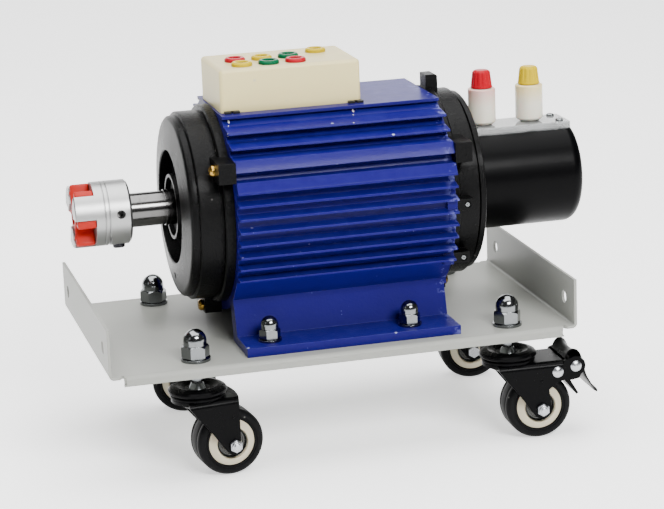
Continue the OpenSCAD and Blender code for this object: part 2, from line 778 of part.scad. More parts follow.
module coupling_hub() {
  root_x = hub_x1 - hub_len;
  color(zinc) placed() difference() {
    turned([
      [0, root_x + 0.5], [jaw_r0, root_x + 0.5], [jaw_r0, jaw_tip_x], [hub_r - 0.6, jaw_tip_x],
      [hub_r, jaw_tip_x + 0.6], [hub_r, hub_x1 - 19.2], [hub_r - 0.5, hub_x1 - 19],
      [hub_r - 0.5, hub_x1 - 18.6], [hub_r, hub_x1 - 18.4], [hub_r, hub_x1 - 16.2],
      [hub_r - 0.5, hub_x1 - 16], [hub_r - 0.5, hub_x1 - 15.6], [hub_r, hub_x1 - 15.4],
      [hub_r, hub_x1 - 1.6], [hub_r - 1.6, hub_x1], [0, hub_x1]
    ]);
    // what is left between these three gaps are the jaws
    for (i = [0:2])
      jaw_axis() translate([0, 0, -1]) linear_extrude(height = jaw_len + 1) difference() {
        polygon(wedge(120 * i - gap_angle / 2, 120 * i + gap_angle / 2, 2 * hub_r));
        circle(r = jaw_r0 - 1);
      }
    bar_x(shaft_x0, hub_x1 + 1, hub_bore_r);
    bar_x(jaw_tip_x, shaft_x0 + 1, 6);
    // two radial screw holes, a quarter turn apart
    for (a = [0, -90])
      translate([set_x, 0, shaft_h]) rotate([-(jaw_turn - 17 + a), 0, 0]) rotate([90, 0, 0])
        cylinder(h = hub_r + 1, r = 3);
    translate([set_x, 0, shaft_h]) rotate([-(jaw_turn - 107), 0, 0]) rotate([90, 0, 0])
      translate([0, 0, hub_r - 2]) cylinder(h = 4, r = 4.3);
    // narrow slit across the underside
    translate([hub_x1 - 15.8, -hub_r, shaft_h - hub_r - 1]) cube([1.3, 2 * hub_r, hub_r + 1 - 13.5]);
  }
}

module coupling_screw() {
  color(black) placed() translate([set_x, 0, shaft_h]) rotate([-(jaw_turn - 107), 0, 0])
    rotate([90, 0, 0]) difference() {
      union() {
        translate([0, 0, shaft_r]) cylinder(h = hub_r - 2 - shaft_r, r = 3);
        translate([0, 0, hub_r - 2]) cylinder(h = 3.6, r = 4.25);
        translate([0, 0, hub_r + 1.6]) cylinder(h = 0.8, r1 = 4.25, r2 = 3.5);
      }
      translate([0, 0, hub_r + 0.4]) cylinder(h = 3, r = 2.3, $fn = 6);
    }
}

module coupling_spider() {
  set_back = 1.4;
  color(spider_red) placed() jaw_axis() {
    translate([0, 0, set_back]) linear_extrude(height = jaw_len - set_back) difference() {
      union() {
        circle(r = jaw_r0);
        intersection() {
          circle(r = hub_r - 0.7);
          for (i = [0:2], side = [-1, 1])
            rotate(120 * i + 180 + side * (jaw_angle + arm_angle) / 2)
              polygon([
                [4, -4 * tan(arm_angle / 2)], [2 * hub_r, -2 * hub_r * tan(arm_angle / 2)],
                [2 * hub_r, 2 * hub_r * tan(arm_angle / 2)], [4, 4 * tan(arm_angle / 2)]
              ]);
        }
      }
      circle(r = 6.5);
    }
    // a small nub on the end of every arm
    for (i = [0:2], side = [-1, 1])
      rotate([0, 0, 120 * i + 180 + side * (jaw_angle + arm_angle) / 2])
        translate([hub_r - 6.5, 0, set_back - 1]) cylinder(h = 2, r1 = 1.1, r2 = 1.7);
  }
}

module slip_ring_cover() {
  x0 = cover_x0;
  x1 = cover_x1;
  round_r = 8;
  color(black) placed() difference() {
    union() {
      on_axis() rotate_extrude() {
        difference() {
          translate([0, x0 - 3]) square([cover_r, x1 - 1 - x0 + 3]);
          translate([cover_r - 2.5, x0 - 4]) square([3.5, 4]);
          translate([cover_r - round_r, x1 - 1 - round_r]) square([round_r + 1, round_r + 1]);
        }
        translate([cover_r - round_r, x1 - 1 - round_r]) intersection() {
          circle(r = round_r);
          square([round_r, round_r]);
        }
      }
      bar_x(x1 - 2, x1, 3.2);
    }
    bar_x(x0 - 4, x1 - 5, cover_in_r);
    translate([x0 - 0.5, -cover_r, clear_z]) cube([x1 - x0 + 2, 2 * cover_r, cover_r]);
    for (i = [0, 1])
      translate([post_x + i * post_pitch, 0, shaft_h + 20]) cylinder(h = 20, r = 8.2);
    plate_screw_places() translate([0, 0, -10]) cylinder(h = 11, r = 1.5);
  }
}

module plate_screw_places()
  for (x = [clear_x0 + 6, clear_x0 + clear_len - 6.5], y = [-9.5, 9.5])
    translate([x, y, clear_z]) children();

module brush_holders() {
  color(black) placed() for (i = [0, 1])
    translate([post_x + i * post_pitch, 0, clear_z]) difference() {
      translate([0, 0, -14]) cylinder(h = 14, r = 7.8);
      translate([-3, -4, -15]) cube([6, 8, 11]);
      translate([0, 0, -5]) cylinder(h = 6, r = stud_r);
    }
}

module brushes() {
  color(steel) placed() for (i = [0, 1])
    difference() {
      translate([post_x + i * post_pitch - 3, -4, shaft_h + ring_r - 2]) cube([6, 8, 15]);
      bar_x(cover_x0, cover_x1, ring_r + run_fit);
    }
}

module terminal_plate() {
  color([0.85, 0.9, 0.92, 0.5]) placed() difference() {
    translate([clear_x0, -clear_wid / 2, clear_z]) cube([clear_len, clear_wid, clear_t]);
    plate_screw_places() translate([0, 0, -1]) cylinder(h = clear_t + 2, r = 1.5);
    for (i = [0, 1])
      translate([post_x + i * post_pitch, 0, clear_z - 1]) cylinder(h = clear_t + 2, r = stud_r);
  }
}

module terminal_plate_screws() {
  color(zinc) placed() plate_screw_places() translate([0, 0, clear_t])
    pan_screw(2.9, 1.6, 1.5, clear_t + 3);
}

module post_places() for (i = [0, 1])
  translate([post_x + i * post_pitch, 0, clear_top]) children();

module post_studs() {
  color(zinc) placed() post_places() {
    translate([0, 0, -clear_t - 4]) cylinder(h = clear_t + 4 + post_h + 11, r = stud_r);
    cylinder(h = stud_flange_t, r = 7);
  }
}

module post_bodies() {
  z0 = stud_flange_t;
  color([0.9, 0.89, 0.84]) placed() post_places() rotate_extrude() polygon([
    [stud_r, z0], [post_r - 1.8, z0], [post_r - 0.9, z0 + 0.5], [post_r, z0 + 1.6],
    [post_r, z0 + post_h - 0.8], [post_r - 0.8, z0 + post_h], [stud_r, z0 + post_h]
  ]);
}

// A tapered cap with a rounded top
module post_cap(i) {
  top = 2.6;
  placed() translate([post_x + i * post_pitch, 0, clear_top + stud_flange_t + post_h + clear])
    difference() {
      rotate_extrude() {
        polygon([[0, 0], [cap_r0, 0], [cap_r0, 0.8], [cap_r1, cap_h - top], [0, cap_h - top]]);
        translate([0, cap_h - top]) square([cap_r1 - top, top]);
        intersection() {
          translate([cap_r1 - top, cap_h - top]) circle(r = top);
          translate([0, cap_h - top]) square([cap_r1, top]);
        }
      }
      translate([0, 0, -1]) cylinder(h = 12, r = stud_r + run_fit);
    }
}

module post_cap_red() color(red) post_cap(0);
module post_cap_yellow() color(yellow) post_cap(1);

module socket_place(p) translate([p[0], p[1], box_z1]) children();
front_row = [for (i = [0:2]) [socket_x + i * socket_pitch, socket_y]];
back_row = [for (i = [0:2]) [socket_x - 0.6 + i * socket_pitch, socket_y + socket_pitch]];
red_sockets = [front_row[2], back_row[0]];
yellow_sockets = [front_row[0], back_row[1], [lone_x, lone_y]];
green_sockets = [front_row[1], back_row[2]];
all_sockets = concat(red_sockets, yellow_sockets, green_sockets);

// A box with rounded upright and top edges, one corner at the origin
module rounded_box(l, w, h, r) {
  translate([r, 0, 0]) cube([l - 2 * r, w, h - r]);
  translate([0, r, 0]) cube([l, w - 2 * r, h - r]);
  translate([r, r, 0]) cube([l - 2 * r, w - 2 * r, h]);
  for (x = [r, l - r], y = [r, w - r]) {
    translate([x, y, 0]) cylinder(h = h - r, r = r);
    translate([x, y, h - r]) sphere(r = r);
  }
  for (y = [r, w - r])
    translate([r, y, h - r]) rotate([0, 90, 0]) cylinder(h = l - 2 * r, r = r);
  for (x = [r, l - r])
    translate([x, r, h - r]) rotate([-90, 0, 0]) cylinder(h = w - 2 * r, r = r);
}

module terminal_box() {
  color(cream) placed() difference() {
    translate([box_x0, -box_wid / 2, pad_z]) rounded_box(box_len, box_wid, box_h, box_r);
    translate([box_x0 + box_wall, -box_wid / 2 + box_wall, pad_z - 1])
      cube([box_len - 2 * box_wall, box_wid - 2 * box_wall, box_h - box_wall + 1]);
    for (p = all_sockets)
      socket_place(p) translate([0, 0, -box_wall - 1]) cylinder(h = box_wall + 2, r = shank_r);
    // notches for the four clips of the base
    for (x = clip_places)
      translate([x, -box_wid / 2 - 1, pad_z - 1]) cube([clip_w, box_wid + 2, 1 + clip_t]);
  }
}

module terminal_box_base() {
  l = box_len - 2 * box_wall;
  w = box_wid - 2 * box_wall;
  color(black) placed() difference() {
    union() {
      translate([box_x0 + box_wall, -w / 2, pad_z]) cube([l, w, clip_t]);
      // each clip is split in two by a notch
      for (x = clip_places, part = [0, 1])
        both_sides() translate([x + part * (clip_w / 2 + 0.7), -box_wid / 2 - clip_out, pad_z])
          cube([clip_w / 2 - 0.7, clip_out + box_wall + 0.7, clip_t]);
    }
    translate([box_x0 + box_len / 2, 0, pad_z - 1]) cylinder(h = 4, r = 10);
  }
}

// A collar with its shank through the lid and a thin nut ring below
module socket_collar() {
  rotate_extrude() polygon([
    [collar_hole_r, -9], [shank_r, -9], [shank_r, -box_wall - 2.2], [socket_nut_r, -box_wall - 2.2],
    [socket_nut_r, -box_wall], [shank_r, -box_wall], [shank_r, 0], [collar_r, 0],
    [collar_r, collar_h - 1], [collar_r - 1, collar_h], [collar_hole_r + 0.6, collar_h],
    [collar_hole_r, collar_h - 0.6]
  ]);
}

module socket_collars_red() color(red) placed() for (p = red_sockets) socket_place(p) socket_collar();
module socket_collars_yellow() color(yellow) placed() for (p = yellow_sockets)
  socket_place(p) socket_collar();
module socket_collars_green() color(green) placed() for (p = green_sockets)
  socket_place(p) socket_collar();

module socket_contacts() {
  color(zinc) placed() for (p = all_sockets)
    socket_place(p) translate([0, 0, collar_h - 1.2 - plug_len]) difference() {
      union() {
        cylinder(h = plug_len, r = plug_r + 1);
        translate([0, 0, plug_len - 14]) cylinder(h = 13.4, r = collar_hole_r);
        translate([-1, -2, -4]) cube([2, 4, 5]);
      }
      translate([0, 0, 1]) cylinder(h = plug_len, r = plug_r);
      translate([-2, 0, -2.4]) rotate([0, 90, 0]) cylinder(h = 4, r = 0.9);
    }
}

module stem_washers() {
  color(zinc) placed() for (c = casters)
    translate([c[0], c[1], 0]) difference() {
      cylinder(h = stem_washer_t, r = stem_washer_r);
      translate([0, 0, -1]) cylinder(h = stem_washer_t + 2, r = stem_r);
    }
}

module stem_cap_nuts() {
  color(zinc) placed() for (c = casters)
    translate([c[0], c[1], stem_washer_t]) cap_nut(stem_nut_af, stem_nut_h, stem_r, 12);
}

module caster_stems() {
  color(zinc) placed() for (c = casters)
    translate([c[0], c[1], 0]) {
      translate([0, 0, -11.5]) cylinder(h = 11.5 + stem_washer_t + 12, r = stem_r);
      translate([0, 0, -sheet - 6]) hex_bar(16, 6);
      translate([0, 0, cup_z]) cylinder(h = 4, r1 = 6.4, r2 = king_r);
      translate([0, 0, crown_z - clear - 2]) cylinder(h = -crown_z + clear - 8, r = king_r);
      translate([0, 0, crown_z - clear - 2]) cylinder(h = 2, r1 = 5.5, r2 = 6.5);
    }
}

module caster_cups() {
  color(black) placed() for (c = casters)
    translate([c[0], c[1], 0]) rotate_extrude() polygon([
      [king_r, cup_z], [9, cup_z], [11.5, -18], [14.5, -17.1], [17, -17.6], [cup_r - 1.2, -18.5],
      [cup_r, -19.9], [cup_r, -21.2], [cup_r - 0.7, -21.9], [cup_r - 1.8, -21.8], [cup_r - 3, -20.5],
      [14.2, -19.3], [11.5, -20.2], [9, cup_z - 2.1], [king_r, cup_z - 2.1]
    ]);
}

module leg_outline() {
  polygon([
    [-11.5, fork_top], [-12, fork_top - 2.8], [-8, -33.6], [3.4, -48], [13.5, axle_z - 3.7],
    [trail, axle_z], [trail + 6.7, axle_z + 0.4], [trail + 4.9, -44], [trail + 4.1, fork_top]
  ]);
  translate([trail, axle_z]) circle(r = 6.8);
}

// Side cheek that carries the brake's two pins
module brake_cheek() {
  polygon([
    [20, -30.5], [brake_plate_end - 1.5, -30.5], [brake_plate_end, fork_top + 0.2], [41, -23.4],
    [pedal_pin_t, pedal_pin_z + 7], [pedal_pin_t + 4, -35.4], [46.5, -38.6], [41, -39.6],
    [35.5, -38.9], [30, -40.5], [trail + 4.9, -45], [20, -45]
  ]);
  translate([pedal_pin_t, pedal_pin_z]) circle(r = 7);
}

// What lies under a level top with rounded shoulders, seen along the fork
module under_top(half, top, r) {
  translate([-half, -90]) square([2 * half, 90 + top - r]);
  translate([r - half, -90]) square([2 * (half - r), 90 + top]);
  for (side = [-1, 1])
    translate([side * (half - r), top - r]) circle(r = r);
}

// The folded sheet of the fork: a bent channel trimmed by its side view and by its plan
module fork_sheet(braked) {
  plate_end = braked ? brake_plate_end : 26;
  end_arc = 64;
  difference() {
    intersection() {
      translate([-20, 0, 0]) rotate([90, 0, 90]) linear_extrude(height = plate_end + 20)
        difference() {
          under_top(fork_half, fork_top, fork_bend);
          under_top(fork_half - fork_t, fork_top - fork_t, fork_bend - fork_t);
        }
      across(2 * fork_half + 2) {
        translate([-20, fork_top - fork_t]) square([plate_end + 20, fork_t + 1]);
        leg_outline();
        if (braked)
          translate([20, fork_top - 5.5]) square([plate_end - 20, 6]);
      }
      translate([0, 0, -90]) linear_extrude(height = 80) intersection() {
        union() {
          circle(r = crown_r - 0.6);
          translate([-11.5, -fork_half - 1]) square([plate_end + 11.5, 2 * fork_half + 2]);
        }
        if (braked)
          translate([-30, -30]) square([90, 60]);
        else
          translate([plate_end - end_arc, 0]) circle(r = end_arc);
      }
    }
    translate([0, 0, fork_top - fork_t - 1]) cylinder(h = fork_t + 2, r = 15);
  }
}

// The bowl pressed into the fork's top, with its hole for the stem
module fork_crown() {
  hole = king_r + run_fit;
  rotate_extrude() polygon([
    [hole, crown_z], [8, crown_z], [9.6, crown_z + 0.4], [14.8, -29.4], [17.4, fork_top - 0.3],
    [crown_r - 0.7, -25.1], [crown_r, -24.4], [crown_r, -23.5], [crown_r - 0.7, -22.7], [17, -22.5],
    [16, -22.9], [15.2, -24], [14.4, -25.5], [12.2, -27.9], [8, crown_z + fork_t], [hole, crown_z + fork_t]
  ]);
}

module fork(i, braked) {
  leg_y = fork_half - fork_t / 2;
  color(black) placed() in_caster(i) difference() {
    union() {
      fork_sheet(braked);
      fork_crown();
      if (braked)
        for (side = [-1, 1])
          translate([0, side * leg_y, 0]) across(fork_t) brake_cheek();
    }
    translate([trail, 0, axle_z]) across(3 * fork_half) circle(r = axle_r);
    if (braked)
      for (p = [[shoe_pin_t, shoe_pin_z], [pedal_pin_t, pedal_pin_z]])
        translate([p[0], 0, p[1]]) across(3 * fork_half) circle(r = brake_pin_r);
  }
}

module caster_fork_fl() fork(0, false);
module caster_fork_fr() fork(1, true);
module caster_fork_br() fork(2, false);
module caster_fork_bl() fork(3, false);

// The axle bolt with its nut on the outer side; flip puts the nut on the +Y side
module axle(i, flip) {
  color(zinc) placed() in_caster(i) translate([trail, 0, axle_z]) mirror([0, flip, 0])
    rotate([90, 0, 0]) {
      translate([0, 0, -fork_half - 3.5]) hex_bar(axle_af, 3.5);
      translate([0, 0, -fork_half]) cylinder(h = 2 * fork_half + 4.9, r = axle_r);
      translate([0, 0, fork_half]) difference() {
        intersection() {
          hex_bar(axle_af, 4);
          cylinder(h = 4, r1 = axle_af / sqrt(3) + 0.9, r2 = axle_af / 2 + 0.2);
        }
        translate([0, 0, -1]) cylinder(h = 8, r = axle_r);
      }
    }
}

module caster_axle_fl() axle(0, 0);
module caster_axle_fr() axle(1, 0);
module caster_axle_br() axle(2, 1);
module caster_axle_bl() axle(3, 1);

module on_wheel(i) in_caster(i) translate([trail, 0, axle_z]) rotate([90, 0, 0]) children();

module tyre(i) {
  half = tyre_w / 2;
  shoulder = 3.6;
  color(black) placed() on_wheel(i) rotate_extrude() {
    translate([rim_r, -half]) square([tyre_r - shoulder - rim_r, tyre_w]);
    translate([rim_r, -half + shoulder]) square([tyre_r - rim_r, tyre_w - 2 * shoulder]);
    for (side = [-1, 1])
      translate([tyre_r - shoulder, side * (half - shoulder)]) circle(r = shoulder);
  }
}

module caster_tyre_fl() tyre(0);
module caster_tyre_fr() tyre(1);
module caster_tyre_br() tyre(2);
module caster_tyre_bl() tyre(3);

module rim(i) {
  half = tyre_w / 2 - 0.6;
  dish = 8;
  color(cream) placed() on_wheel(i) rotate_extrude() {
    polygon([
      [axle_r + run_fit, -hub_half], [5, -hub_half], [5.8, -hub_half + 0.8], [6.2, -dish], [10.4, -dish],
      [11, -12.7], [11.6, -13.1], [12.4, -12.9], [rim_r, -half], [rim_r, half], [12.4, 12.9],
      [11.6, 13.1], [11, 12.7], [10.4, dish], [6.2, dish], [5.8, hub_half - 0.8], [5, hub_half],
      [axle_r + run_fit, hub_half]
    ]);
  }
}

module caster_rim_fl() rim(0);
module caster_rim_fr() rim(1);
module caster_rim_br() rim(2);
module caster_rim_bl() rim(3);

module brake_pins() {
  color(zinc) placed() in_caster(1)
    for (p = [[shoe_pin_t, shoe_pin_z], [pedal_pin_t, pedal_pin_z]])
      translate([p[0], 0, p[1]]) rotate([90, 0, 0]) {
        cylinder(h = 2 * fork_half, r = brake_pin_r, center = true);
        for (side = [0, 1])
          mirror([0, 0, side]) {
            translate([0, 0, fork_half]) cylinder(h = 0.8, r = brake_head_r);
            translate([0, 0, fork_half + 0.8]) cylinder(h = 1.1, r1 = brake_head_r, r2 = 2.2);
          }
      }
}

// The pedal: a step above its pin, a long toe plate below it and a finger that works the shoe
module brake_pedal() {
  top = [[36.6, -24.3], [43, -18.6], [47.6, -25.4], [51.1, -34.8]];
  toe = [[51.1, -34.8], [54.7, -43], [59.4, -49.8]];
  inner_w = 2 * (fork_half - fork_t - clear - 0.2);
  finger = [pedal_pin_t - 4.7, pedal_pin_z - 7.05];
  color(black) placed() in_caster(1) difference() {
    union() {
      across(inner_w) strip(top, lever_t);
      across(2 * fork_half) intersection() {
        strip(toe, lever_t);
        translate([40, -60]) square([30, 23]);
      }
      across(inner_w) intersection() {
        strip(toe, lever_t);
        translate([40, -40]) square([30, 10]);
      }
      across(inner_w) translate([pedal_pin_t, pedal_pin_z]) circle(r = 3.8);
      across(inner_w - 6) strip([[pedal_pin_t, pedal_pin_z], [48.9, -29.4]], 3);
      across(10) strip([[pedal_pin_t, pedal_pin_z], finger], 4);
    }
    translate([pedal_pin_t, 0, pedal_pin_z]) across(3 * fork_half) circle(r = brake_pin_r + run_fit);
  }
}

// The shoe: a straight plate hung from its own pin, stiffened by a tapered rib along each side
module brake_shoe() {
  inner_w = 2 * (fork_half - fork_t - 2);
  color(black) placed() in_caster(1) translate([shoe_pin_t, 0, shoe_pin_z]) difference() {
    union() {
      across(inner_w) {
        circle(r = 3.4);
        rotate(shoe_lean) square([shoe_len, lever_t]);
      }
      for (side = [-1, 1])
        translate([0, side * (inner_w - lever_t) / 2, 0]) across(lever_t) rotate(shoe_lean)
          polygon([[0, 0], [shoe_len, 0.6], [shoe_len - 1, lever_t], [3, 4.6], [0, 3.4]]);
    }
    across(3 * fork_half) circle(r = brake_pin_r + run_fit);
  }
}

base_plate();
stator_housing();
stator_core();
stator_windings();
drive_end_shield();
rear_end_shield();
shield_screws();
rear_small_screws();
bearing_outer_rings();
shaft_seal();
slip_ring_cover();
brush_holders();
brushes();
terminal_plate();
terminal_plate_screws();
post_studs();
post_bodies();
terminal_box();
terminal_box_base();
socket_collars_red();
socket_collars_yellow();
socket_collars_green();
socket_contacts();
foot_bolts();
foot_washers();
foot_cap_nuts();
stem_washers();
stem_cap_nuts();
caster_stems();
caster_cups();
shaft();
rotor_core();
rotor_windings();
slip_rings();
slip_ring_sleeve();
bearing_inner_rings();
coupling_hub();
coupling_spider();
coupling_screw();
post_cap_red();
post_cap_yellow();
caster_fork_fl();
caster_axle_fl();
caster_rim_fl();
caster_tyre_fl();
caster_fork_fr();
caster_axle_fr();
caster_rim_fr();
caster_tyre_fr();
caster_fork_br();
caster_axle_br();
caster_rim_br();
caster_tyre_br();
caster_fork_bl();
caster_axle_bl();
caster_rim_bl();
caster_tyre_bl();
brake_pins();
brake_pedal();
brake_shoe();
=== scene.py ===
"""Looks of the three-phase generator model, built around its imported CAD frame.

X runs along the shaft with the coupling at -X, Y across with the front at -Y, Z up from the floor.
Everything is in metres, apart from the profiles and outlines, which are in millimetres.
"""

import json
import math

import bmesh
import bpy
from mathutils import Matrix, Vector
from mathutils.bvhtree import BVHTree


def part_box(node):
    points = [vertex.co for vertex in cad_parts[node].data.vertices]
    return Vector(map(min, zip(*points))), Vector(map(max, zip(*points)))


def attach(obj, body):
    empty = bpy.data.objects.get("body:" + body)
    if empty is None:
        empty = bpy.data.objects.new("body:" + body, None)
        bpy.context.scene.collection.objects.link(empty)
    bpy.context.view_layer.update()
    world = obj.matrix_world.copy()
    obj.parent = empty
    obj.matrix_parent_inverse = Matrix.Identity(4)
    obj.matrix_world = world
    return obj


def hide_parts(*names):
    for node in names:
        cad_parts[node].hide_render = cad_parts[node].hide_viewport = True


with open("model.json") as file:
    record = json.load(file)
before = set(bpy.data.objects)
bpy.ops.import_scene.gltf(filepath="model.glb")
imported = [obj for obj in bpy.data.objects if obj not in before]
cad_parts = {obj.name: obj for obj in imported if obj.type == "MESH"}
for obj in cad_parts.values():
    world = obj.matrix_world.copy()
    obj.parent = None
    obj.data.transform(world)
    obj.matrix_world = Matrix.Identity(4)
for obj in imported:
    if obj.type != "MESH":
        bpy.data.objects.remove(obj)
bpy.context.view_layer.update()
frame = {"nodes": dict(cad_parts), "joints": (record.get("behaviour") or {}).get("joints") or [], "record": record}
nodes = frame["nodes"]
MM = 0.001


# ---------------------------------------------------------------- places in the frame
def middle(node):
    low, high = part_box(node)
    return (low + high) / 2


def hinge_line(name):
    """A joint's point and axis."""
    joint = JOINTS[name]
    return Vector(joint["pos_m"]), Vector(joint["axis"])


PLATE = middle("base_plate")
SHAFT = middle("shaft")
CASTERS = ("fl", "fr", "br", "bl")
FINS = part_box("stator_housing")
JOINTS = {joint["name"]: joint for joint in frame["joints"]}
TOP = (0, 0, 1)


# ---------------------------------------------------------------- materials
DOT_EDGE = (0.16, 0.09)  # distances from its middle at which a speck ends and is full, in cells
# sockets of the mix node, which go by number: its two values and its result, for colours and for floats
COLOR_A, COLOR_B, COLOR_OUT = 6, 7, 2
FLOAT_A, FLOAT_B, FLOAT_OUT = 2, 3, 0


class Look:
    """One node material, grown step by step. Coordinates are the object's own."""

    def __init__(self, name, color, rough, metal=0.0, **sockets):
        self.mat = bpy.data.materials.new(name)
        self.mat.use_nodes = True
        self.tree = self.mat.node_tree
        self.tree.nodes.clear()
        self.shader = self.node("ShaderNodeBsdfPrincipled")
        output = self.node("ShaderNodeOutputMaterial")
        self.link(self.shader.outputs["BSDF"], output.inputs["Surface"])
        self.coords = self.node("ShaderNodeTexCoord").outputs["Object"]
        self.set("Base Color", (*color, 1))
        self.set("Roughness", rough)
        self.set("Metallic", metal)
        for key, value in sockets.items():
            self.set(key.replace("_", " "), value)
        self.color = color
        self.rough = rough
        self.last_color = None
        self.last_rough = None
        self.normal = None

    def node(self, kind, **props):
        made = self.tree.nodes.new(kind)
        for key, value in props.items():
            setattr(made, key, value)
        return made

    def link(self, a, b):
        self.tree.links.new(a, b)

    def set(self, socket, value):
        self.shader.inputs[socket].default_value = value

    def math(self, kind, a, b=0.5, clamp=False):
        """A maths node on two values, each a number or a socket; a sine leaves b unused."""
        made = self.node("ShaderNodeMath", operation=kind, use_clamp=clamp)
        for i, value in enumerate((a, b)):
            if isinstance(value, (int, float)):
                made.inputs[i].default_value = value
            else:
                self.link(value, made.inputs[i])
        return made.outputs[0]

    def stretch(self, scale):
        """The coordinates, scaled by axis."""
        made = self.node("ShaderNodeMapping")
        made.inputs["Scale"].default_value = scale
        self.link(self.coords, made.inputs["Vector"])
        return made.outputs[0]

    def noise(self, size, detail=3.0, rough=0.55, stretch=(1, 1, 1)):
        """Grey noise whose largest lumps are about size across, in metres."""
        made = self.node("ShaderNodeTexNoise")
        made.inputs["Scale"].default_value = 1 / size
        made.inputs["Detail"].default_value = detail
        made.inputs["Roughness"].default_value = rough
        self.link(self.stretch(stretch), made.inputs["Vector"])
        return made.outputs["Fac"]

    def band(self, value, low, high):
        """0 below low, 1 above high and smooth between."""
        made = self.node("ShaderNodeMapRange", interpolation_type="SMOOTHSTEP")
        made.inputs["From Min"].default_value = low
        made.inputs["From Max"].default_value = high
        self.link(value, made.inputs["Value"])
        return made.outputs[0]

    def edges(self, radius, low=0.03, high=0.25):
        """A mask of the sharp edges, as wide as the radius, in metres."""
        bevel = self.node("ShaderNodeBevel", samples=4)
        bevel.inputs["Radius"].default_value = radius
        geometry = self.node("ShaderNodeNewGeometry")
        dot = self.node("ShaderNodeVectorMath", operation="DOT_PRODUCT")
        self.link(bevel.outputs[0], dot.inputs[0])
        self.link(geometry.outputs["Normal"], dot.inputs[1])
        turned = self.math("SUBTRACT", 1.0, dot.outputs["Value"], clamp=True)
        return self.band(turned, low, high)

    def facing_up(self, low, high):
        """A mask of the faces that look up."""
        own = self.node("ShaderNodeTexCoord")
        dot = self.node("ShaderNodeVectorMath", operation="DOT_PRODUCT")
        dot.inputs[1].default_value = TOP
        self.link(own.outputs["Normal"], dot.inputs[0])
        return self.band(dot.outputs["Value"], low, high)

    def both(self, a, b):
        """A mask that is high where two masks are."""
        return self.math("MULTIPLY", a, b, clamp=True)

    def specks(self, size, share):
        """A mask of small scattered dots: cells of that size, of which this share has a dot."""
        made = self.node("ShaderNodeTexVoronoi")
        made.inputs["Scale"].default_value = 1 / size
        self.link(self.coords, made.inputs["Vector"])
        near = self.band(made.outputs["Distance"], *DOT_EDGE)
        pick = self.node("ShaderNodeSeparateColor")
        self.link(made.outputs["Color"], pick.inputs[0])
        return self.both(near, self.band(pick.outputs[0], 1 - share, 1 - share + 0.02))

    def tint(self, mask, color, amount):
        """Mixes a colour in where the mask is high."""
        mix = self.node("ShaderNodeMix", data_type="RGBA")
        self.link(self.math("MULTIPLY", mask, amount), mix.inputs[0])
        if self.last_color is None:
            mix.inputs[COLOR_A].default_value = (*self.color, 1)
        else:
            self.link(self.last_color, mix.inputs[COLOR_A])
        mix.inputs[COLOR_B].default_value = (*color, 1)
        self.last_color = mix.outputs[COLOR_OUT]
        self.link(self.last_color, self.shader.inputs["Base Color"])

    def dull(self, mask, rough, amount=1.0):
        """Moves the roughness where the mask is high."""
        mix = self.node("ShaderNodeMix", data_type="FLOAT")
        if amount < 1:
            mask = self.math("MULTIPLY", mask, amount)
        self.link(mask, mix.inputs[0])
        if self.last_rough is None:
            mix.inputs[FLOAT_A].default_value = self.rough
        else:
            self.link(self.last_rough, mix.inputs[FLOAT_A])
        mix.inputs[FLOAT_B].default_value = rough
        self.last_rough = mix.outputs[FLOAT_OUT]
        self.link(self.last_rough, self.shader.inputs["Roughness"])

    def soften(self, radius):
        """Rounds the shading of sharp edges. It comes before any bump."""
        bevel = self.node("ShaderNodeBevel", samples=4)
        bevel.inputs["Radius"].default_value = radius
        self.normal = bevel.outputs[0]
        self.link(self.normal, self.shader.inputs["Normal"])

    def bump(self, height, depth, strength):
        """Relief of that depth, in metres, on top of what the look has so far."""
        made = self.node("ShaderNodeBump")
        made.inputs["Strength"].default_value = strength
        made.inputs["Distance"].default_value = depth
        self.link(height, made.inputs["Height"])
        if self.normal is not None:
            self.link(self.normal, made.inputs["Normal"])
        self.normal = made.outputs[0]
        self.link(self.normal, self.shader.inputs["Normal"])

    def rings(self, pitch):
        """Fine turned rings about the shaft: a wave of the distance from its axis."""
        shift = self.node("ShaderNodeVectorMath", operation="SUBTRACT")
        shift.inputs[1].default_value = (SHAFT.x, 0.0, SHAFT.z)
        self.link(self.coords, shift.inputs[0])
        keep = self.node("ShaderNodeVectorMath", operation="MULTIPLY")
        keep.inputs[1].default_value = (0, 1, 1)
        self.link(shift.outputs[0], keep.inputs[0])
        length = self.node("ShaderNodeVectorMath", operation="LENGTH")
        self.link(keep.outputs[0], length.inputs[0])
        return self.wave(length.outputs["Value"], pitch)

    def along(self, axis, pitch):
        """Fine lines one pitch apart along X, Y or Z (0, 1 or 2)."""
        return self.wave(self.place(axis), pitch)

    def wave(self, value, pitch):
        """A sine of a length, pushed about by slow noise so that its lines aren't even."""
        turn = self.math("MULTIPLY", value, 2 * math.pi / pitch)
        wobble = self.math("MULTIPLY", self.noise(8 * MM), 6.0)
        return self.math("SINE", self.math("ADD", turn, wobble))

    def place(self, axis):
        """The coordinate along X, Y or Z (0, 1 or 2)."""
        parts = self.node("ShaderNodeSeparateXYZ")
        self.link(self.coords, parts.inputs[0])
        return parts.outputs[axis]


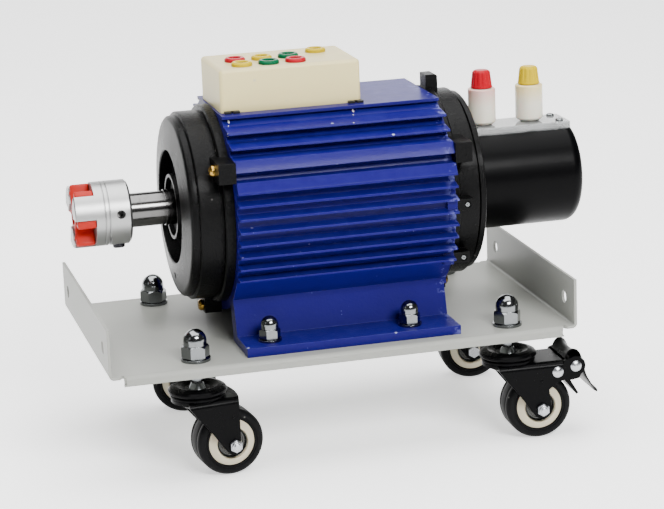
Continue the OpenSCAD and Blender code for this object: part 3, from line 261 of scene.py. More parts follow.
def sheet_paint():
    look = Look("light_grey_enamel", (0.25, 0.255, 0.232), 0.42,
                Specular_IOR_Level=0.2, Coat_Weight=0.03)
    look.soften(0.5 * MM)
    look.tint(look.noise(60 * MM, 4), (0.212, 0.215, 0.20), 0.5)
    look.tint(look.band(look.noise(7 * MM, 5, 0.7), 0.62, 0.72), (0.195, 0.195, 0.18), 0.25)
    look.tint(look.specks(9 * MM, 0.10), (0.22, 0.21, 0.19), 0.5)
    worn = look.both(look.edges(0.7 * MM), look.band(look.noise(5 * MM), 0.5, 0.6))
    look.tint(worn, (0.17, 0.17, 0.165), 0.6)
    look.dull(look.noise(20 * MM, 4), 0.5, 0.5)
    look.bump(look.noise(1.1 * MM, 2), 0.03 * MM, 0.5)
    return look.mat


def blue_paint():
    look = Look("blue_gloss_enamel", (0.0068, 0.0030, 0.098), 0.27,
                Specular_IOR_Level=0.055, Coat_Weight=0.03, Coat_Roughness=0.1)
    look.soften(0.7 * MM)
    look.tint(look.noise(30 * MM, 4), (0.0085, 0.0045, 0.12), 0.6)
    patches = look.band(look.noise(12 * MM, 5, 0.7), 0.38, 0.62)
    dust = look.both(look.facing_up(0.2, 0.95), patches)
    look.tint(dust, (0.022, 0.026, 0.17), 0.2)
    scuff = look.both(look.edges(0.9 * MM), look.band(look.noise(6 * MM, 4, 0.7), 0.53, 0.62))
    # painted highlight: a thin lighter blue line along every sharp edge, for the light lines on the fin tips
    look.tint(look.edges(0.4 * MM, 0.02, 0.15), (0.06, 0.07, 0.26), 0.55)
    look.tint(scuff, (0.08, 0.10, 0.32), 0.35)
    look.tint(look.specks(2.8 * MM, 0.05), (0.12, 0.14, 0.40), 0.7)
    look.tint(look.specks(8 * MM, 0.035), (0.40, 0.44, 0.62), 0.8)
    # chipped paint on the fin ends beside the cover
    far_end = look.band(look.place(0), FINS[1].x - 9 * MM, FINS[1].x - 1 * MM)
    chips = look.both(far_end, look.band(look.noise(7 * MM, 4, 0.7), 0.52, 0.58))
    look.tint(chips, (0.14, 0.15, 0.42), 0.6)
    look.dull(look.noise(9 * MM, 5), 0.42, 0.55)
    look.dull(scuff, 0.6)
    look.bump(look.noise(1.8 * MM, 3, 0.6), 0.14 * MM, 0.8)
    look.bump(look.noise(14 * MM, 2, stretch=(0.2, 1, 1)), 0.25 * MM, 0.35)
    return look.mat


def cast_black():
    look = Look("black_gloss_on_casting", (0.0008, 0.0008, 0.0009), 0.24,
                Specular_IOR_Level=0.07, Coat_Weight=0.02, Coat_Roughness=0.12)
    look.soften(0.7 * MM)
    patches = look.band(look.noise(9 * MM, 5, 0.7), 0.4, 0.62)
    dust = look.both(look.facing_up(0.1, 0.9), patches)
    look.tint(dust, (0.003, 0.003, 0.003), 0.5)
    worn = look.both(look.edges(1.0 * MM), look.band(look.noise(4 * MM, 4, 0.7), 0.5, 0.6))
    look.tint(worn, (0.022, 0.021, 0.02), 0.6)
    look.tint(look.specks(8 * MM, 0.08), (0.20, 0.19, 0.18), 0.5)
    look.dull(look.noise(10 * MM, 5), 0.4, 0.6)
    look.bump(look.noise(1.8 * MM, 4, 0.7), 0.5 * MM, 1.0)
    look.bump(look.noise(11 * MM, 2), 0.3 * MM, 0.35)
    return look.mat


def smooth_black(name, rough, color=(0.0006, 0.0006, 0.0008)):
    look = Look(name, color, rough, Specular_IOR_Level=0.045, Coat_Weight=0.01, Coat_Roughness=0.15)
    look.soften(0.4 * MM)
    look.tint(look.specks(12 * MM, 0.10), (0.3, 0.3, 0.3), 0.6)
    dust = look.both(look.facing_up(0.2, 0.9), look.noise(8 * MM, 5))
    look.tint(dust, (0.0015, 0.0015, 0.0018), 0.4)
    worn = look.both(look.edges(0.5 * MM), look.band(look.noise(4 * MM, 4), 0.52, 0.62))
    look.tint(worn, (0.02, 0.02, 0.02), 0.5)
    look.dull(look.noise(12 * MM, 5), rough + 0.2, 0.6)
    look.bump(look.noise(2.2 * MM, 2), 0.04 * MM, 0.5)
    return look.mat


def metal(name, color, rough, size=1.5, bump=0.015, worn=(0.30, 0.29, 0.27)):
    """Bare or plated metal; the size and the height of its grain are in millimetres."""
    look = Look(name, color, rough, 1.0)
    look.soften(0.35 * MM)
    look.tint(look.band(look.noise(5 * MM, 5, 0.7), 0.5, 0.75), worn, 0.35)
    look.dull(look.noise(size * MM, 3), min(1, rough + 0.22), 0.8)
    look.bump(look.noise(size * MM, 3), bump * MM, 0.6)
    return look.mat


def turned_metal(name, color, rough, pitch, worn=(0.35, 0.35, 0.34)):
    """Metal off the lathe: rings about the shaft's axis on the ends, lines round the outside.

    The pitch of both is in millimetres.
    """
    look = Look(name, color, rough, 1.0)
    look.soften(0.35 * MM)
    look.tint(look.band(look.noise(6 * MM, 5, 0.7), 0.52, 0.75), worn, 0.4)
    look.dull(look.noise(4 * MM, 4), rough + 0.12, 0.6)
    look.bump(look.rings(pitch * MM), 0.004 * MM, 0.3)
    look.bump(look.along(0, pitch * MM), 0.004 * MM, 0.3)
    look.bump(look.noise(1.2 * MM, 3, stretch=(4, 1, 1)), 0.003 * MM, 0.4)
    return look.mat


def plastic(name, color, dark, rough, through=0.0, grain=0.7, depth=0.02, shine=0.14):
    """Moulded plastic with darker patches and pale edges; grain and its depth are in millimetres."""
    look = Look(name, color, rough, Subsurface_Weight=through, Subsurface_Scale=2 * MM,
                Coat_Weight=0.02, Specular_IOR_Level=shine)
    pale = tuple(min(1, c * 1.5 + 0.04) for c in color)
    look.soften(0.35 * MM)
    look.tint(look.noise(9 * MM, 4), dark, 0.4)
    look.tint(look.both(look.edges(0.4 * MM), look.noise(3 * MM)), pale, 0.5)
    look.tint(look.specks(6 * MM, 0.10), dark, 0.6)
    look.dull(look.noise(5 * MM, 4), rough + 0.2, 0.6)
    look.bump(look.noise(grain * MM, 2), depth * MM, 0.5)
    return look.mat


def box_plastic():
    look = Look("cream_moulded_plastic", (0.64, 0.55, 0.255), 0.4,
                Specular_IOR_Level=0.25, Subsurface_Weight=0.04, Subsurface_Scale=3 * MM,
                Coat_Weight=0.12, Coat_Roughness=0.08)
    look.soften(0.6 * MM)
    look.tint(look.noise(40 * MM, 4), (0.58, 0.495, 0.235), 0.6)
    dust = look.both(look.facing_up(0.4, 0.9), look.noise(20 * MM, 4))
    look.tint(dust, (0.40, 0.345, 0.235), 0.6)
    look.tint(look.specks(11 * MM, 0.10), (0.40, 0.36, 0.30), 0.5)
    look.dull(look.noise(16 * MM, 5), 0.5, 0.6)
    look.bump(look.noise(0.5 * MM, 2), 0.018 * MM, 0.6)
    look.bump(look.noise(25 * MM, 1), 0.12 * MM, 0.3)
    return look.mat


def post_plastic():
    """Milky plastic with painted light from the caps: the top of each post is tinted with its cap's colour."""
    low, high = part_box("post_bodies")
    look = Look("milky_plastic", (0.58, 0.55, 0.46), 0.2,
                Specular_IOR_Level=0.4, Subsurface_Weight=0.35, Subsurface_Scale=3 * MM)
    look.soften(0.5 * MM)
    look.tint(look.noise(9 * MM, 4), (0.52, 0.49, 0.40), 0.4)
    cap_glow_zone = look.band(look.place(2), high.z - 15 * MM, high.z)
    middle_x = (low.x + high.x) / 2
    yellow = look.band(look.place(0), middle_x - 1 * MM, middle_x + 1 * MM)
    red = look.math("SUBTRACT", 1.0, yellow)
    # painted light: the red and yellow of the caps glowing down into the tops of the posts
    look.tint(look.both(cap_glow_zone, red), (0.55, 0.22, 0.22), 0.6)
    look.tint(look.both(cap_glow_zone, yellow), (0.60, 0.46, 0.12), 0.6)
    look.dull(look.noise(6 * MM, 4), 0.36, 0.6)
    look.bump(look.noise(4 * MM, 2), 0.05 * MM, 0.4)
    return look.mat


def tyre_rubber():
    look = Look("black_rubber_tyre", (0.0012, 0.0012, 0.0015), 0.42, Specular_IOR_Level=0.08)
    look.tint(look.noise(9 * MM, 4), (0.0026, 0.0026, 0.003), 0.7)
    look.tint(look.band(look.noise(4 * MM, 5, 0.7), 0.58, 0.7), (0.014, 0.0135, 0.013), 0.4)
    look.tint(look.specks(5 * MM, 0.12), (0.12, 0.12, 0.11), 0.6)
    look.dull(look.noise(6 * MM, 4), 0.6, 0.6)
    look.bump(look.noise(1.3 * MM, 3), 0.05 * MM, 0.6)
    return look.mat


def clear_acrylic():
    look = Look("clear_acrylic", (0.80, 0.82, 0.82), 0.06, Transmission_Weight=0.72, IOR=1.49)
    look.soften(0.3 * MM)
    look.tint(look.noise(12 * MM, 3), (0.72, 0.75, 0.74), 0.5)
    look.dull(look.both(look.edges(0.6 * MM), look.noise(3 * MM)), 0.35)
    look.dull(look.band(look.noise(6 * MM, 5, 0.7), 0.5, 0.7), 0.18, 0.5)
    look.bump(look.noise(9 * MM, 2), 0.02 * MM, 0.3)
    return look.mat


def lamination():
    look = Look("stacked_steel_sheets", (0.24, 0.24, 0.25), 0.45, 1.0)
    look.tint(look.noise(8 * MM, 4), (0.17, 0.14, 0.12), 0.5)
    look.dull(look.noise(3 * MM, 3), 0.6, 0.6)
    look.bump(look.along(0, 0.7 * MM), 0.03 * MM, 0.7)
    return look.mat


def winding():
    look = Look("enamelled_copper_wire", (0.50, 0.17, 0.06), 0.28, 0.7, Coat_Weight=0.6)
    look.tint(look.noise(5 * MM, 4), (0.34, 0.10, 0.035), 0.6)
    look.dull(look.noise(2 * MM, 3), 0.5, 0.5)
    look.bump(look.along(1, 0.9 * MM), 0.12 * MM, 0.8)
    return look.mat


LOOKS = {
    "base_paint": sheet_paint(),
    "blue_casting": blue_paint(),
    "black_casting": cast_black(),
    "lamination": lamination(),
    "winding": winding(),
    "yellow_zinc": metal("yellow_zinc_plate", (0.42, 0.25, 0.05), 0.12, worn=(0.16, 0.11, 0.04)),
    "bright_zinc": metal("bright_zinc_plate", (0.16, 0.168, 0.172), 0.06, worn=(0.08, 0.08, 0.078)),
    "bearing_steel": turned_metal("ground_bearing_steel", (0.4, 0.4, 0.41), 0.18, 0.25),
    "seal_rubber": plastic("seal_rubber", (0.012, 0.012, 0.012), (0.03, 0.03, 0.03), 0.5),
    "cover_black": smooth_black("black_satin_cover", 0.3),
    "holder_black": plastic("black_holder_plastic", (0.014, 0.014, 0.015), (0.03, 0.03, 0.03), 0.45),
    "carbon": plastic("pressed_carbon", (0.022, 0.022, 0.023), (0.05, 0.05, 0.05), 0.6,
                      grain=0.3, depth=0.04),
    "clear": clear_acrylic(),
    "nickel": metal("nickel_plate", (0.42, 0.41, 0.37), 0.16),
    "post_white": post_plastic(),
    "plastic_red": plastic("red_plastic", (0.34, 0.003, 0.012), (0.27, 0.002, 0.010), 0.2, shine=0.08),
    "plastic_yellow": plastic("yellow_plastic", (0.46, 0.33, 0.0), (0.39, 0.27, 0.0), 0.2, shine=0.05),
    "plastic_green": plastic("green_plastic", (0.0003, 0.085, 0.032), (0.0003, 0.06, 0.024), 0.2,
                             shine=0.06),
    "box_cream": box_plastic(),
    "box_black": plastic("black_base_plastic", (0.011, 0.011, 0.012), (0.03, 0.03, 0.03), 0.4),
    "black_paint": smooth_black("black_gloss_paint", 0.22, (0.0008, 0.0008, 0.001)),
    "shaft_steel": turned_metal("ground_shaft_steel", (0.115, 0.113, 0.112), 0.13, 0.3,
                                worn=(0.07, 0.068, 0.066)),
    "ring_bronze": turned_metal("polished_bronze", (0.62, 0.40, 0.16), 0.25, 0.3),
    "sleeve": plastic("brown_resin", (0.20, 0.08, 0.035), (0.13, 0.05, 0.02), 0.35),
    "coupling_alloy": turned_metal("turned_aluminium", (0.35, 0.352, 0.35), 0.36, 0.45),
    "spider_red": plastic("orange_red_polyurethane", (0.36, 0.013, 0.008), (0.29, 0.010, 0.006), 0.36,
                          through=0.05, shine=0.12),
    "black_oxide": metal("black_oxide_steel", (0.035, 0.035, 0.04), 0.35, worn=(0.12, 0.12, 0.12)),
    "rim_cream": plastic("cream_rim_plastic", (0.46, 0.41, 0.30), (0.40, 0.355, 0.26), 0.38,
                         through=0.08),
    "tyre": tyre_rubber(),
}
for part in frame["record"]["subparts"]:
    node = nodes[part["node"]]
    node.data.materials.clear()
    node.data.materials.append(LOOKS[part["material_slot"]])


# ---------------------------------------------------------------- mesh helpers
SHARP_ANGLE = 35  # degrees between faces from which an edge is drawn sharp
MERGE = 1e-6  # points of a skin that are closer than this, in metres, become one


def piece(name, mesh, slot, body, material=None):
    """An object in a slot that rides on a body, in the slot's own look or another material."""
    made = bpy.data.objects.new(name, mesh)
    bpy.context.scene.collection.objects.link(made)
    mesh.materials.clear()
    mesh.materials.append(material or LOOKS[slot])
    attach(made, body)
    return made


def shade(mesh):
    for face in mesh.polygons:
        face.use_smooth = True
    mesh.set_sharp_from_angle(angle=math.radians(SHARP_ANGLE))
    return mesh


def grid_mesh(name, rows, closed_rows=True):
    """A closed skin through rows of points; points that fall together are merged, open ends filled."""
    mesh = bpy.data.meshes.new(name)
    count = len(rows[0])
    faces = []
    for i in range(len(rows) if closed_rows else len(rows) - 1):
        i2 = (i + 1) % len(rows)
        for j in range(count):
            j2 = (j + 1) % count
            faces.append((i * count + j, i2 * count + j, i2 * count + j2, i * count + j2))
    mesh.from_pydata([p for row in rows for p in row], [], faces)
    work = bmesh.new()
    work.from_mesh(mesh)
    bmesh.ops.remove_doubles(work, verts=work.verts, dist=MERGE)
    loose = [e for e in work.edges if e.is_boundary]
    if loose:
        bmesh.ops.holes_fill(work, edges=loose, sides=0)
    bmesh.ops.recalc_face_normals(work, faces=work.faces)
    work.to_mesh(mesh)
    work.free()
    return shade(mesh)


def frame_at(place, axis, up=None):
    """A matrix with Z along the axis and X along up, where one is given."""
    z = Vector(axis).normalized()
    x = Vector(up) if up is not None else z.orthogonal()
    x = (x - z * x.dot(z)).normalized()
    turn = Matrix((x, z.cross(x), z)).transposed().to_4x4()
    return Matrix.Translation(Vector(place)) @ turn


def lathe(name, profile, place, axis, steps, flutes=0, depth=0.0):
    """A ring from a closed profile of (radius, height) points.

    Flutes of that number and depth are cut into the points that have a third number, their share.
    """
    at = frame_at(place, axis)
    rows = []
    for i in range(steps):
        a = 2 * math.pi * i / steps
        cut = depth * max(0.0, math.cos(flutes * a)) ** 0.5 if flutes else 0.0
        row = []
        for point in profile:
            r = point[0] - (cut * point[2] if len(point) > 2 else 0.0)
            row.append(at @ Vector((r * math.cos(a) * MM, r * math.sin(a) * MM, point[1] * MM)))
        rows.append(row)
    return grid_mesh(name, rows)


def prism(name, outline, levels, at, hole=0.0):
    """A closed body over one outline at several levels of (height, inset), with a round hole or none."""
    work = bmesh.new()

    def skin(loops):
        made = [[work.verts.new(at @ Vector((x * MM, y * MM, z * MM))) for x, y, z in loop]
                for loop in loops]
        for low, high in zip(made, made[1:]):
            for k in range(len(low)):
                k2 = (k + 1) % len(low)
                work.faces.new((low[k], low[k2], high[k2], high[k]))
        return made[0], made[-1]

    loops = []
    for height, inset in levels:
        loop = []
        for k, (x, y) in enumerate(outline):
            x0, y0 = outline[k - 1]
            x2, y2 = outline[(k + 1) % len(outline)]
            long = math.hypot(x2 - x0, y2 - y0)
            loop.append((x - (y2 - y0) / long * inset, y + (x2 - x0) / long * inset, height))
        loops.append(loop)
    rims = [skin(loops)]
    if hole:
        ring = arc(0, 0, hole, 0, 360, 48)[:-1]
        rims.append(skin([[(x, y, z) for x, y in ring] for z in (levels[0][0], levels[-1][0])]))
    for end in (0, 1):
        edges = []
        for rim in rims:
            loop = rim[end]
            edges += [work.edges.get((loop[k - 1], loop[k])) for k in range(len(loop))]
        bmesh.ops.triangle_fill(work, use_beauty=True, edges=edges)
    bmesh.ops.recalc_face_normals(work, faces=work.faces)
    mesh = bpy.data.meshes.new(name)
    work.to_mesh(mesh)
    work.free()
    return shade(mesh)


def join(name, meshes):
    """One mesh out of several."""
    work = bmesh.new()
    for mesh in meshes:
        work.from_mesh(mesh)
    whole = bpy.data.meshes.new(name)
    work.to_mesh(whole)
    work.free()
    for mesh in meshes:
        bpy.data.meshes.remove(mesh)
    return shade(whole)


def arc(cx, cy, r, a0, a1, n=6):
    """The n + 1 points of an arc, angles in degrees."""
    turns = [math.radians(a0 + (a1 - a0) * i / n) for i in range(n + 1)]
    return [(cx + r * math.cos(turn), cy + r * math.sin(turn)) for turn in turns]


# ---------------------------------------------------------------- caster wheels, in millimetres about the hub
tyre_low, tyre_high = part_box("caster_tyre_fl")
TYRE_R = (tyre_high.z - tyre_low.z) / 2 / MM
TYRE_HALF = 10.8
SHOULDER = 3.6
RIM_R = 16.35
DISH = 8.0  # height of the rim's dished sides over the wheel's middle plane

# radius and height over the dish
DUST_COVER = ((6.35, 0.05), (6.35, 1.1), (6.8, 1.5), (7.4, 1.5), (7.7, 0.9), (8.3, 0.9), (8.6, 1.7),
              (9.3, 1.7), (9.6, 1.1), (9.9, 1.3), (10.15, 3.3), (10.45, 3.5), (10.55, 3.2), (10.3, 0.05))


def tyre_side(side):
    """The tyre's outline on one side, 1 or -1, from the rim to the middle of the tread."""
    seat = [(RIM_R, 9.0), (RIM_R, TYRE_HALF - 0.55), (RIM_R + 0.4, TYRE_HALF - 0.1)]
    groove = [(17.5, TYRE_HALF), (17.9, TYRE_HALF - 0.45), (18.4, TYRE_HALF - 0.45), (18.8, TYRE_HALF - 0.05)]
    wall = [(TYRE_R - SHOULDER, TYRE_HALF)]
    wall += arc(TYRE_R - SHOULDER, TYRE_HALF - SHOULDER, SHOULDER, 84, 12, 7)
    tread = [(TYRE_R - 0.02, 5.6), (TYRE_R - 0.28, 5.2), (TYRE_R - 0.02, 4.8), (TYRE_R, 1.2)]
    return [(r, side * h) for r, h in seat + groove + wall + tread]


cover_look = metal("pressed_cover_steel", (0.075, 0.075, 0.072), 0.2, worn=(0.03, 0.03, 0.03))
for key in CASTERS:
    hub, axle = hinge_line(f"caster_{key}_roll")
    outline = tyre_side(-1) + tyre_side(1)[::-1]
    tyre = piece(f"tyre_{key}", lathe(f"tyre_{key}", outline, hub, axle, 128), "tyre", f"wheel_{key}")
    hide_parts(f"caster_tyre_{key}")
    # pressed dust covers over the bearings, in the rim's dished sides
    cover = [(r, DISH + h) for r, h in DUST_COVER]
    for side, word in ((-1, "near"), (1, "far")):
        ring = lathe(f"dust_cover_{key}_{word}", cover, hub, axle * side, 64)
        piece(f"dust_cover_{key}_{word}", ring, "black_paint", f"wheel_{key}", cover_look)


# ---------------------------------------------------------------- axle nuts and brake pins
FORK_HALF = 18.5  # half the width over the fork's cheeks
AXLE_R = 2.5
HEX_FLATS = 8
PITCH = 0.3
RIVET_R = 4.0
PIP_R = 1.1
PIP_UP, PIP_BEHIND = 20.5, -0.4  # place of the pips from the hub


def dome(r, height, base, n=6):
    """Points of a shallow dome, from its edge at the base up to the axis."""
    ball = (r * r + height * height) / (2 * height)
    reach = math.degrees(math.asin(r / ball))
    lean = [math.radians(reach * (1 - i / n)) for i in range(n + 1)]
    return [(ball * math.sin(a), base + height - ball + ball * math.cos(a)) for a in lean]


def hex_outline(flats):
    r = flats / math.sqrt(3)
    return [(r * math.cos(math.radians(60 * i)), r * math.sin(math.radians(60 * i))) for i in range(6)]


satin_zinc = metal("satin_zinc_plate", (0.40, 0.41, 0.43), 0.2, size=0.9, bump=0.03, worn=(0.16, 0.16, 0.16))
for key in CASTERS:
    hub, outward = hinge_line(f"caster_{key}_roll")
    if outward.y * hub.y < 0:
        outward = -outward
    at = frame_at(hub, outward, TOP)
    face = FORK_HALF
    nut_levels = [(face, 0.35), (face + 0.3, 0), (face + 2.6, 0), (face + 2.9, 0.35)]
    nut = prism(f"axle_hex_{key}", hex_outline(HEX_FLATS), nut_levels, at)
    head_levels = [(-face - 3.5, 0.35), (-face - 3.2, 0), (-face, 0)]
    head = prism(f"axle_head_{key}", hex_outline(HEX_FLATS), head_levels, at)
    collar = [(0, face + 2.7), (3.7, face + 2.7), (3.7, face + 3.5)]
    collar += arc(2.9, face + 3.5, 0.8, 0, 80, 4) + [(0, face + 4.3)]
    stud = [(0, face + 4.0)]
    for turn in range(3):
        start = face + 4.0 + PITCH * turn
        stud += [(AXLE_R, start), (AXLE_R - PITCH, start + PITCH / 2)]
    stud += [(AXLE_R - 0.5, face + 4.9), (0, face + 4.9)]
    bolt = [(0, -face - 0.6), (AXLE_R, -face - 0.6), (AXLE_R, face + 0.5), (0, face + 0.5)]
    rings = [lathe(f"axle_{key}_{n}", prof, hub, outward, 48) for n, prof in enumerate((collar, stud, bolt))]
    whole = join(f"axle_set_{key}", [nut, head] + rings)
    axle_set = piece(f"axle_set_{key}", whole, "bright_zinc", f"swivel_{key}", satin_zinc)
    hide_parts(f"caster_axle_{key}")

rivet_halves = []
for name in ("brake_press", "brake_shoe_swing"):
    center, axis = hinge_line(name)
    for sign in (-1, 1):
        profile = [(0, -0.2), (2, -0.2), (2, FORK_HALF), (RIVET_R - 0.3, FORK_HALF)]
        profile += [(RIVET_R, FORK_HALF + 0.35)] + dome(RIVET_R, 1.55, FORK_HALF + 0.35)
        rivet_halves.append(lathe(f"rivet_{name}_{sign}", profile, center, axis * sign, 48))
rivets = piece("brake_rivets", join("brake_rivets", rivet_halves), "bright_zinc", "swivel_fr", satin_zinc)
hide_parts("brake_pins")

# small pressed pips on the cheeks of the forks
for key in CASTERS:
    hub, axis = hinge_line(f"caster_{key}_roll")
    behind = Vector((axis.y, -axis.x, 0))
    spot = hub + behind * PIP_BEHIND * MM + Vector((0, 0, PIP_UP * MM))
    profile = [(0, FORK_HALF - 0.3), (PIP_R, FORK_HALF - 0.3)] + dome(PIP_R, 0.45, FORK_HALF)
    pips = [lathe(f"pip_{key}_{sign}", profile, spot, axis * sign, 24) for sign in (-1, 1)]
    piece(f"pips_{key}", join(f"pips_{key}", pips), "black_paint", f"swivel_{key}")


# ---------------------------------------------------------------- brake pedal
def smooth_line(points, steps=6):
    """A curve through points of any length, as a Catmull-Rom spline."""
    line = []
    last = len(points) - 1
    for k in range(last):
        around = [points[min(max(k + n, 0), last)] for n in (-1, 0, 1, 2)]
        for i in range(steps):
            u = i / steps
            line.append([
                0.5 * (2 * q + (r - p) * u + (2 * p - 5 * q + 4 * r - s) * u * u
                       + (3 * q - p - 3 * r + s) * u ** 3)
                for p, q, r, s in zip(*around)
            ])
    return line + [list(points[-1])]


def pressed_sheet(name, stations, at, across=14):
    """A sheet along stations of (x, y, half width, thickness, curl), with its edges curled outwards."""
    line = smooth_line(stations)
    rows = []
    for k, (x, y, half, thick, curl) in enumerate(line):
        x0, y0 = line[max(k - 1, 0)][:2]
        x2, y2 = line[min(k + 1, len(line) - 1)][:2]
        long = math.hypot(x2 - x0, y2 - y0)
        nx, ny = -(y2 - y0) / long, (x2 - x0) / long
        row = []
        for side in (1, -1):
            for j in range(across + 1):
                u = side * (2 * j / across - 1)
                lift = curl * abs(u) ** 3 + side * thick / 2 * (1 - 0.5 * abs(u) ** 12)
                row.append(at @ Vector(((x + nx * lift) * MM, (y + ny * lift) * MM, half * u * MM)))
        rows.append(row)
    return grid_mesh(name, rows, closed_rows=False)


def capsule(start, end, r):
    """The outline of a bar with round ends, counting anticlockwise."""
    lean = math.degrees(math.atan2(end[1] - start[1], end[0] - start[0]))
    return arc(*end, r, lean - 90, lean + 90, 8) + arc(*start, r, lean + 90, lean + 270, 8)


stem = hinge_line("caster_fr_swivel")[0]
pin = hinge_line("brake_press")[0]
trail = Vector((pin.x - stem.x, pin.y - stem.y, 0)).normalized()
sideways = trail.cross(Vector(TOP))
pedal_at = frame_at(pin, sideways, trail)
if (pedal_at.to_3x3() @ Vector((0, 1, 0))).z < 0:
    pedal_at = frame_at(pin, -sideways, trail)
INNER = FORK_HALF - 3.0  # half width of the pedal between the fork's cheeks
WEB_HALF = INNER - 3
SLEEVE_BORE, SLEEVE_R, SLEEVE_EDGE = 2.25, 3.8, 0.3
# side view from the pin: along the trail, up, half width, thickness, curl of the edges
stations = ((-6.4, 4.6, INNER - 1.0, 1.2, 0.6), (-3.9, 8.0, INNER - 0.6, 1.5, 1.6),
            (-1.0, 9.4, INNER - 0.3, 1.5, 2.2), (1.7, 7.2, INNER, 1.5, 2.2),
            (4.3, 2.6, INNER, 1.5, 1.2), (6.4, -2.8, INNER, 1.5, 0.4),
            (8.2, -8.0, INNER + 0.2, 1.5, 0.0), (9.9, -12.2, FORK_HALF - 0.4, 1.5, 0.0),
            (12.6, -16.6, FORK_HALF - 0.2, 1.7, 0.0), (14.6, -19.0, FORK_HALF - 0.2, 2.6, 0.0),
            (15.5, -20.1, FORK_HALF - 0.6, 2.2, 0.0), (15.9, -20.6, FORK_HALF - 1.4, 0.8, 0.0))
plate = pressed_sheet("pedal_plate", stations, pedal_at)
sleeve_side = [(SLEEVE_BORE, -INNER), (SLEEVE_R - SLEEVE_EDGE, -INNER), (SLEEVE_R, SLEEVE_EDGE - INNER),
               (SLEEVE_R, INNER - SLEEVE_EDGE), (SLEEVE_R - SLEEVE_EDGE, INNER), (SLEEVE_BORE, INNER)]
sleeve = lathe("pedal_sleeve", sleeve_side, pin, sideways, 40)
web = prism("pedal_web", capsule((3.9, 0.4), (6.0, 0.9), 1.5), [(-WEB_HALF, 0), (WEB_HALF, 0)], pedal_at)
finger_levels = [(-5, 0.3), (-4.7, 0), (4.7, 0), (5, 0.3)]
finger = prism("pedal_finger", capsule((-2.44, -3.66), (-4.7, -7.05), 2.0), finger_levels, pedal_at)
pedal = piece("pedal_pressing", join("pedal_pressing", [plate, sleeve, web, finger]), "black_paint", "pedal")
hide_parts("brake_pedal")


# ---------------------------------------------------------------- coupling spider, millimetres and degrees
JAW_TURN, JAW_ANGLE, ARM_ANGLE = 24.8, 45, 17
HUB_R, ROOT_R, HOLE_R, NUB_PLACE, NUB_R = 22.5, 9.0, 6.5, 16, 1.7
ROOT_GAP = 6  # angle between an arm's side and the start of the ring's bare arc
JAW_LEN, SET_BACK = 14.45, 1.4
ARM_MIDDLES = [120 * i + 180 + side * (JAW_ANGLE + ARM_ANGLE) / 2 for i in range(3) for side in (-1, 1)]


def spider_outline():
    """Six rounded arms round a ring, in the spider's own plane, counting anticlockwise."""
    half, tip, soft = math.radians(ARM_ANGLE / 2), HUB_R - 0.7, 1.5
    turn_in = half - math.asin(soft / (tip - soft))
    start_u, end_u, bulge = ROOT_R + 1.4, tip - 2.4, 0.12
    middles = sorted(angle % 360 for angle in ARM_MIDDLES)
    points = []
    for n, middle_angle in enumerate(middles):
        mid = math.radians(middle_angle)
        arm = []
        for k in range(5):
            u = start_u + (end_u - start_u) * k / 4
            arm.append((u, -u * math.tan(half) - bulge * math.sin(math.pi * k / 4)))
        first = math.degrees(-half) - 90
        cx, cy = (tip - soft) * math.cos(turn_in), -(tip - soft) * math.sin(turn_in)
        arm += arc(cx, cy, soft, first, -math.degrees(turn_in))
        arm += [(x, -y) for x, y in reversed(arm)]
        points += [(x * math.cos(mid) - y * math.sin(mid), x * math.sin(mid) + y * math.cos(mid))
                   for x, y in arm]
        start = middle_angle + ARM_ANGLE / 2 + ROOT_GAP
        gap = (middles[(n + 1) % 6] - middle_angle) % 360 - ARM_ANGLE - 2 * ROOT_GAP
        points += arc(0, 0, ROOT_R, start, start + gap)
    return points


hub_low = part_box("coupling_hub")[0]
jaw_frame = Matrix.Translation((hub_low.x, SHAFT.y, SHAFT.z))
jaw_frame @= Matrix.Rotation(math.radians(90 - JAW_TURN), 4, "X")
jaw_frame @= Matrix.Rotation(math.radians(90), 4, "Y")
low_end, high_end = SET_BACK, JAW_LEN
levels = [(low_end, 1.2), (low_end + 0.12, 0.7), (low_end + 0.45, 0.25), (low_end + 1.1, 0),
          (high_end - 1.1, 0), (high_end - 0.45, 0.25), (high_end, 0.9)]
arms = prism("spider_arms", spider_outline(), levels, jaw_frame, hole=HOLE_R)
towards_end = jaw_frame.to_3x3() @ Vector((0, 0, -1))
nub_side = [(0, -0.4), (NUB_R, -0.4)] + dome(NUB_R, 1.0, 0)
nubs = []
for n, angle in enumerate(ARM_MIDDLES):
    a = math.radians(angle)
    on_arm = Vector((NUB_PLACE * math.cos(a), NUB_PLACE * math.sin(a), low_end + 0.1)) * MM
    nubs.append(lathe(f"nub_{n}", nub_side, jaw_frame @ on_arm, towards_end, 20))
spider = piece("spider_soft", join("spider_soft", [arms] + nubs), "spider_red", "rotor")
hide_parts("coupling_spider")


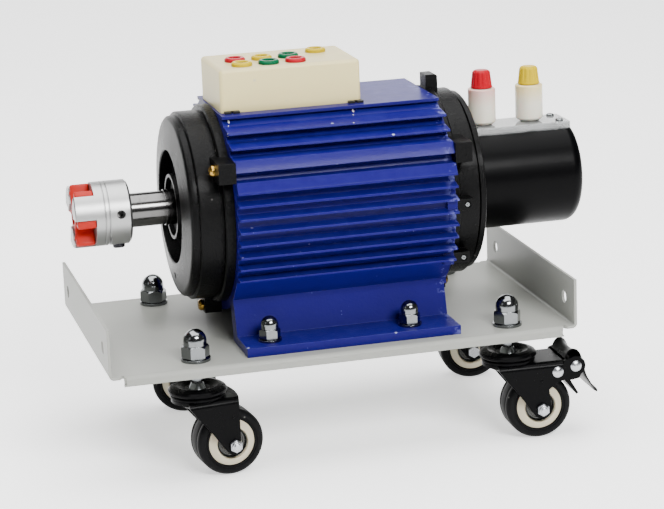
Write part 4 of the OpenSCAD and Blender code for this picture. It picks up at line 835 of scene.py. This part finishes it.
# ---------------------------------------------------------------- post caps with finger flutes
CAP_R, CAP_TOP_R, CAP_BORE, CAP_BORE_END = 7.8, 6.6, 3.05, 11
CAP_ROUND, FLUTES, FLUTE_DEPTH = 2.5, 12, 0.42
for colour in ("red", "yellow"):
    low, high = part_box(f"post_cap_{colour}")
    foot = Vector(((low.x + high.x) / 2, (low.y + high.y) / 2, low.z))
    tall = (high.z - low.z) / MM
    profile = [(0, CAP_BORE_END), (CAP_BORE, CAP_BORE_END), (CAP_BORE, 0.4), (CAP_BORE + 0.45, 0),
               (CAP_R - 0.3, 0), (CAP_R, 0.3), (CAP_R, 0.9), (CAP_R - 0.1, 1.2)]
    # the third number is the share of a flute's depth at that point
    taper = CAP_R - 0.1 - CAP_TOP_R
    profile += [(CAP_R - 0.1 - taper * k / 6, 1.2 + (tall - 3.9) * k / 6, min(1.0, k / 1.5))
                for k in range(1, 7)]
    crown = arc(CAP_TOP_R - CAP_ROUND, tall - CAP_ROUND, CAP_ROUND, 8, 90)
    profile += [(r, z, 0.9 - 0.15 * n) for n, (r, z) in enumerate(crown)] + [(0, tall)]
    cap = lathe(f"cap_{colour}", profile, foot, TOP, 120, FLUTES, FLUTE_DEPTH)
    whole = piece(f"fluted_cap_{colour}", cap, f"plastic_{colour}", f"cap_{colour}")
    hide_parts(f"post_cap_{colour}")


# ---------------------------------------------------------------- painted glints: white beads under the box's clips
SIGHT = Vector((0.25, 0.97, 0)).normalized()  # the way the beads are cast onto the housing
SIGHT_START = 0.2
CLIPS_IN = (5.2, 6.4)  # millimetres from the box's ends to its clips
# drop below the box, width and height of each bead, in millimetres
BEADS = ((-0.6, 0.45, 0.5), (4.1, 0.75, 1.7), (6.3, 0.35, 0.45), (8.6, 0.35, 0.4), (10.6, 0.45, 1.1))
skin = BVHTree.FromObject(nodes["stator_housing"], bpy.context.evaluated_depsgraph_get())
box_low, box_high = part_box("terminal_box")
bead_side = [(0, -0.3), (1, -0.3)] + dome(1, 0.7, -0.05, 4)
beads = []
for n, x in enumerate((box_low.x + CLIPS_IN[0] * MM, box_high.x - CLIPS_IN[1] * MM)):
    for k, (drop, wide, tall) in enumerate(BEADS):
        start = Vector((x, box_low.y, box_low.z - drop * MM)) - SIGHT * SIGHT_START
        spot, normal, _, _ = skin.ray_cast(start, SIGHT)
        if spot is None:
            continue
        bead = lathe(f"bead_{n}_{k}", bead_side, (0, 0, 0), TOP, 16)
        bead.transform(frame_at(spot, normal, TOP) @ Matrix.Diagonal((tall, wide, wide * 0.8, 1)))
        beads.append(bead)
# painted glints: small white drops that stand for the light glinting on the fins below each clip
glint_white = plastic("white_painted_glint", (0.72, 0.72, 0.70), (0.6, 0.6, 0.58), 0.3, 0.1)
piece("painted_glint_beads", join("painted_glint_beads", beads), "post_white", "generator", glint_white)


# ---------------------------------------------------------------- floor, light and camera
FLOOR_CORNERS = [(-6, -6, 0), (6, -6, 0), (6, 9, 0), (-6, 9, 0)]
WORLD_STRENGTH = 0.1
SENSOR, LENS = 36, 129.06  # millimetres
# the photograph's camera, solved from it: its place about the base, and its axes
EYE = Vector((-0.3948, -1.5972, 0.5571)) + Vector((PLATE.x, 0, 0))
RIGHT = Vector((0.96539, -0.25804, -0.03764))
UP = Vector((0.10058, 0.23527, 0.96671))
BACK = Vector((-0.24059, -0.93705, 0.25308))

floor = bpy.data.objects.new("floor", bpy.data.meshes.new("floor"))
bpy.context.scene.collection.objects.link(floor)
floor.data.from_pydata(FLOOR_CORNERS, [], [(0, 1, 2, 3)])
floor_look = Look("pale_floor", (0.92, 0.92, 0.92), 0.85, Specular_IOR_Level=0.2,
                  Emission_Color=(1, 1, 1, 1), Emission_Strength=0.9)
floor_look.tint(floor_look.noise(0.9, 3), (0.90, 0.90, 0.90), 0.6)
floor.data.materials.append(floor_look.mat)


def soft_light(name, place, aim, size, power):
    """A rectangular area light at a place, turned to a point; size in metres, power in watts."""
    lamp = bpy.data.lights.new(name, "AREA")
    lamp.shape = "RECTANGLE"
    lamp.size, lamp.size_y = size
    lamp.energy = power
    made = bpy.data.objects.new(name, lamp)
    bpy.context.scene.collection.objects.link(made)
    made.location = place
    made.rotation_euler = (Vector(aim) - Vector(place)).to_track_quat("-Z", "Y").to_euler()


soft_light("overhead", place=(0, 0.2, 2.6), aim=(0, 0.2, 0), size=(3.0, 3.0), power=195)
soft_light("front_key", place=(0.45, -2.3, 1.75), aim=(0, 0, 0.12), size=(1.3, 0.7), power=120)
soft_light("left_fill", place=(-2.2, -0.9, 1.1), aim=(0, 0, 0.15), size=(0.6, 0.9), power=2)
soft_light("back_wall", place=(0, 3.4, 0.95), aim=(0, 0, 0.3), size=(6.0, 1.7), power=85)
world = bpy.data.worlds.new("studio")
bpy.context.scene.world = world
world.use_nodes = True
backdrop = world.node_tree.nodes["Background"]
backdrop.inputs[0].default_value = (1, 1, 1, 1)
backdrop.inputs[1].default_value = WORLD_STRENGTH

view = bpy.data.cameras.new("photo_view")
view.sensor_width = SENSOR
view.lens = LENS
view.clip_end = 50
camera = bpy.data.objects.new("photo_view", view)
bpy.context.scene.collection.objects.link(camera)
camera.matrix_world = Matrix.Translation(EYE) @ Matrix((RIGHT, UP, BACK)).transposed().to_4x4()
bpy.context.scene.camera = camera
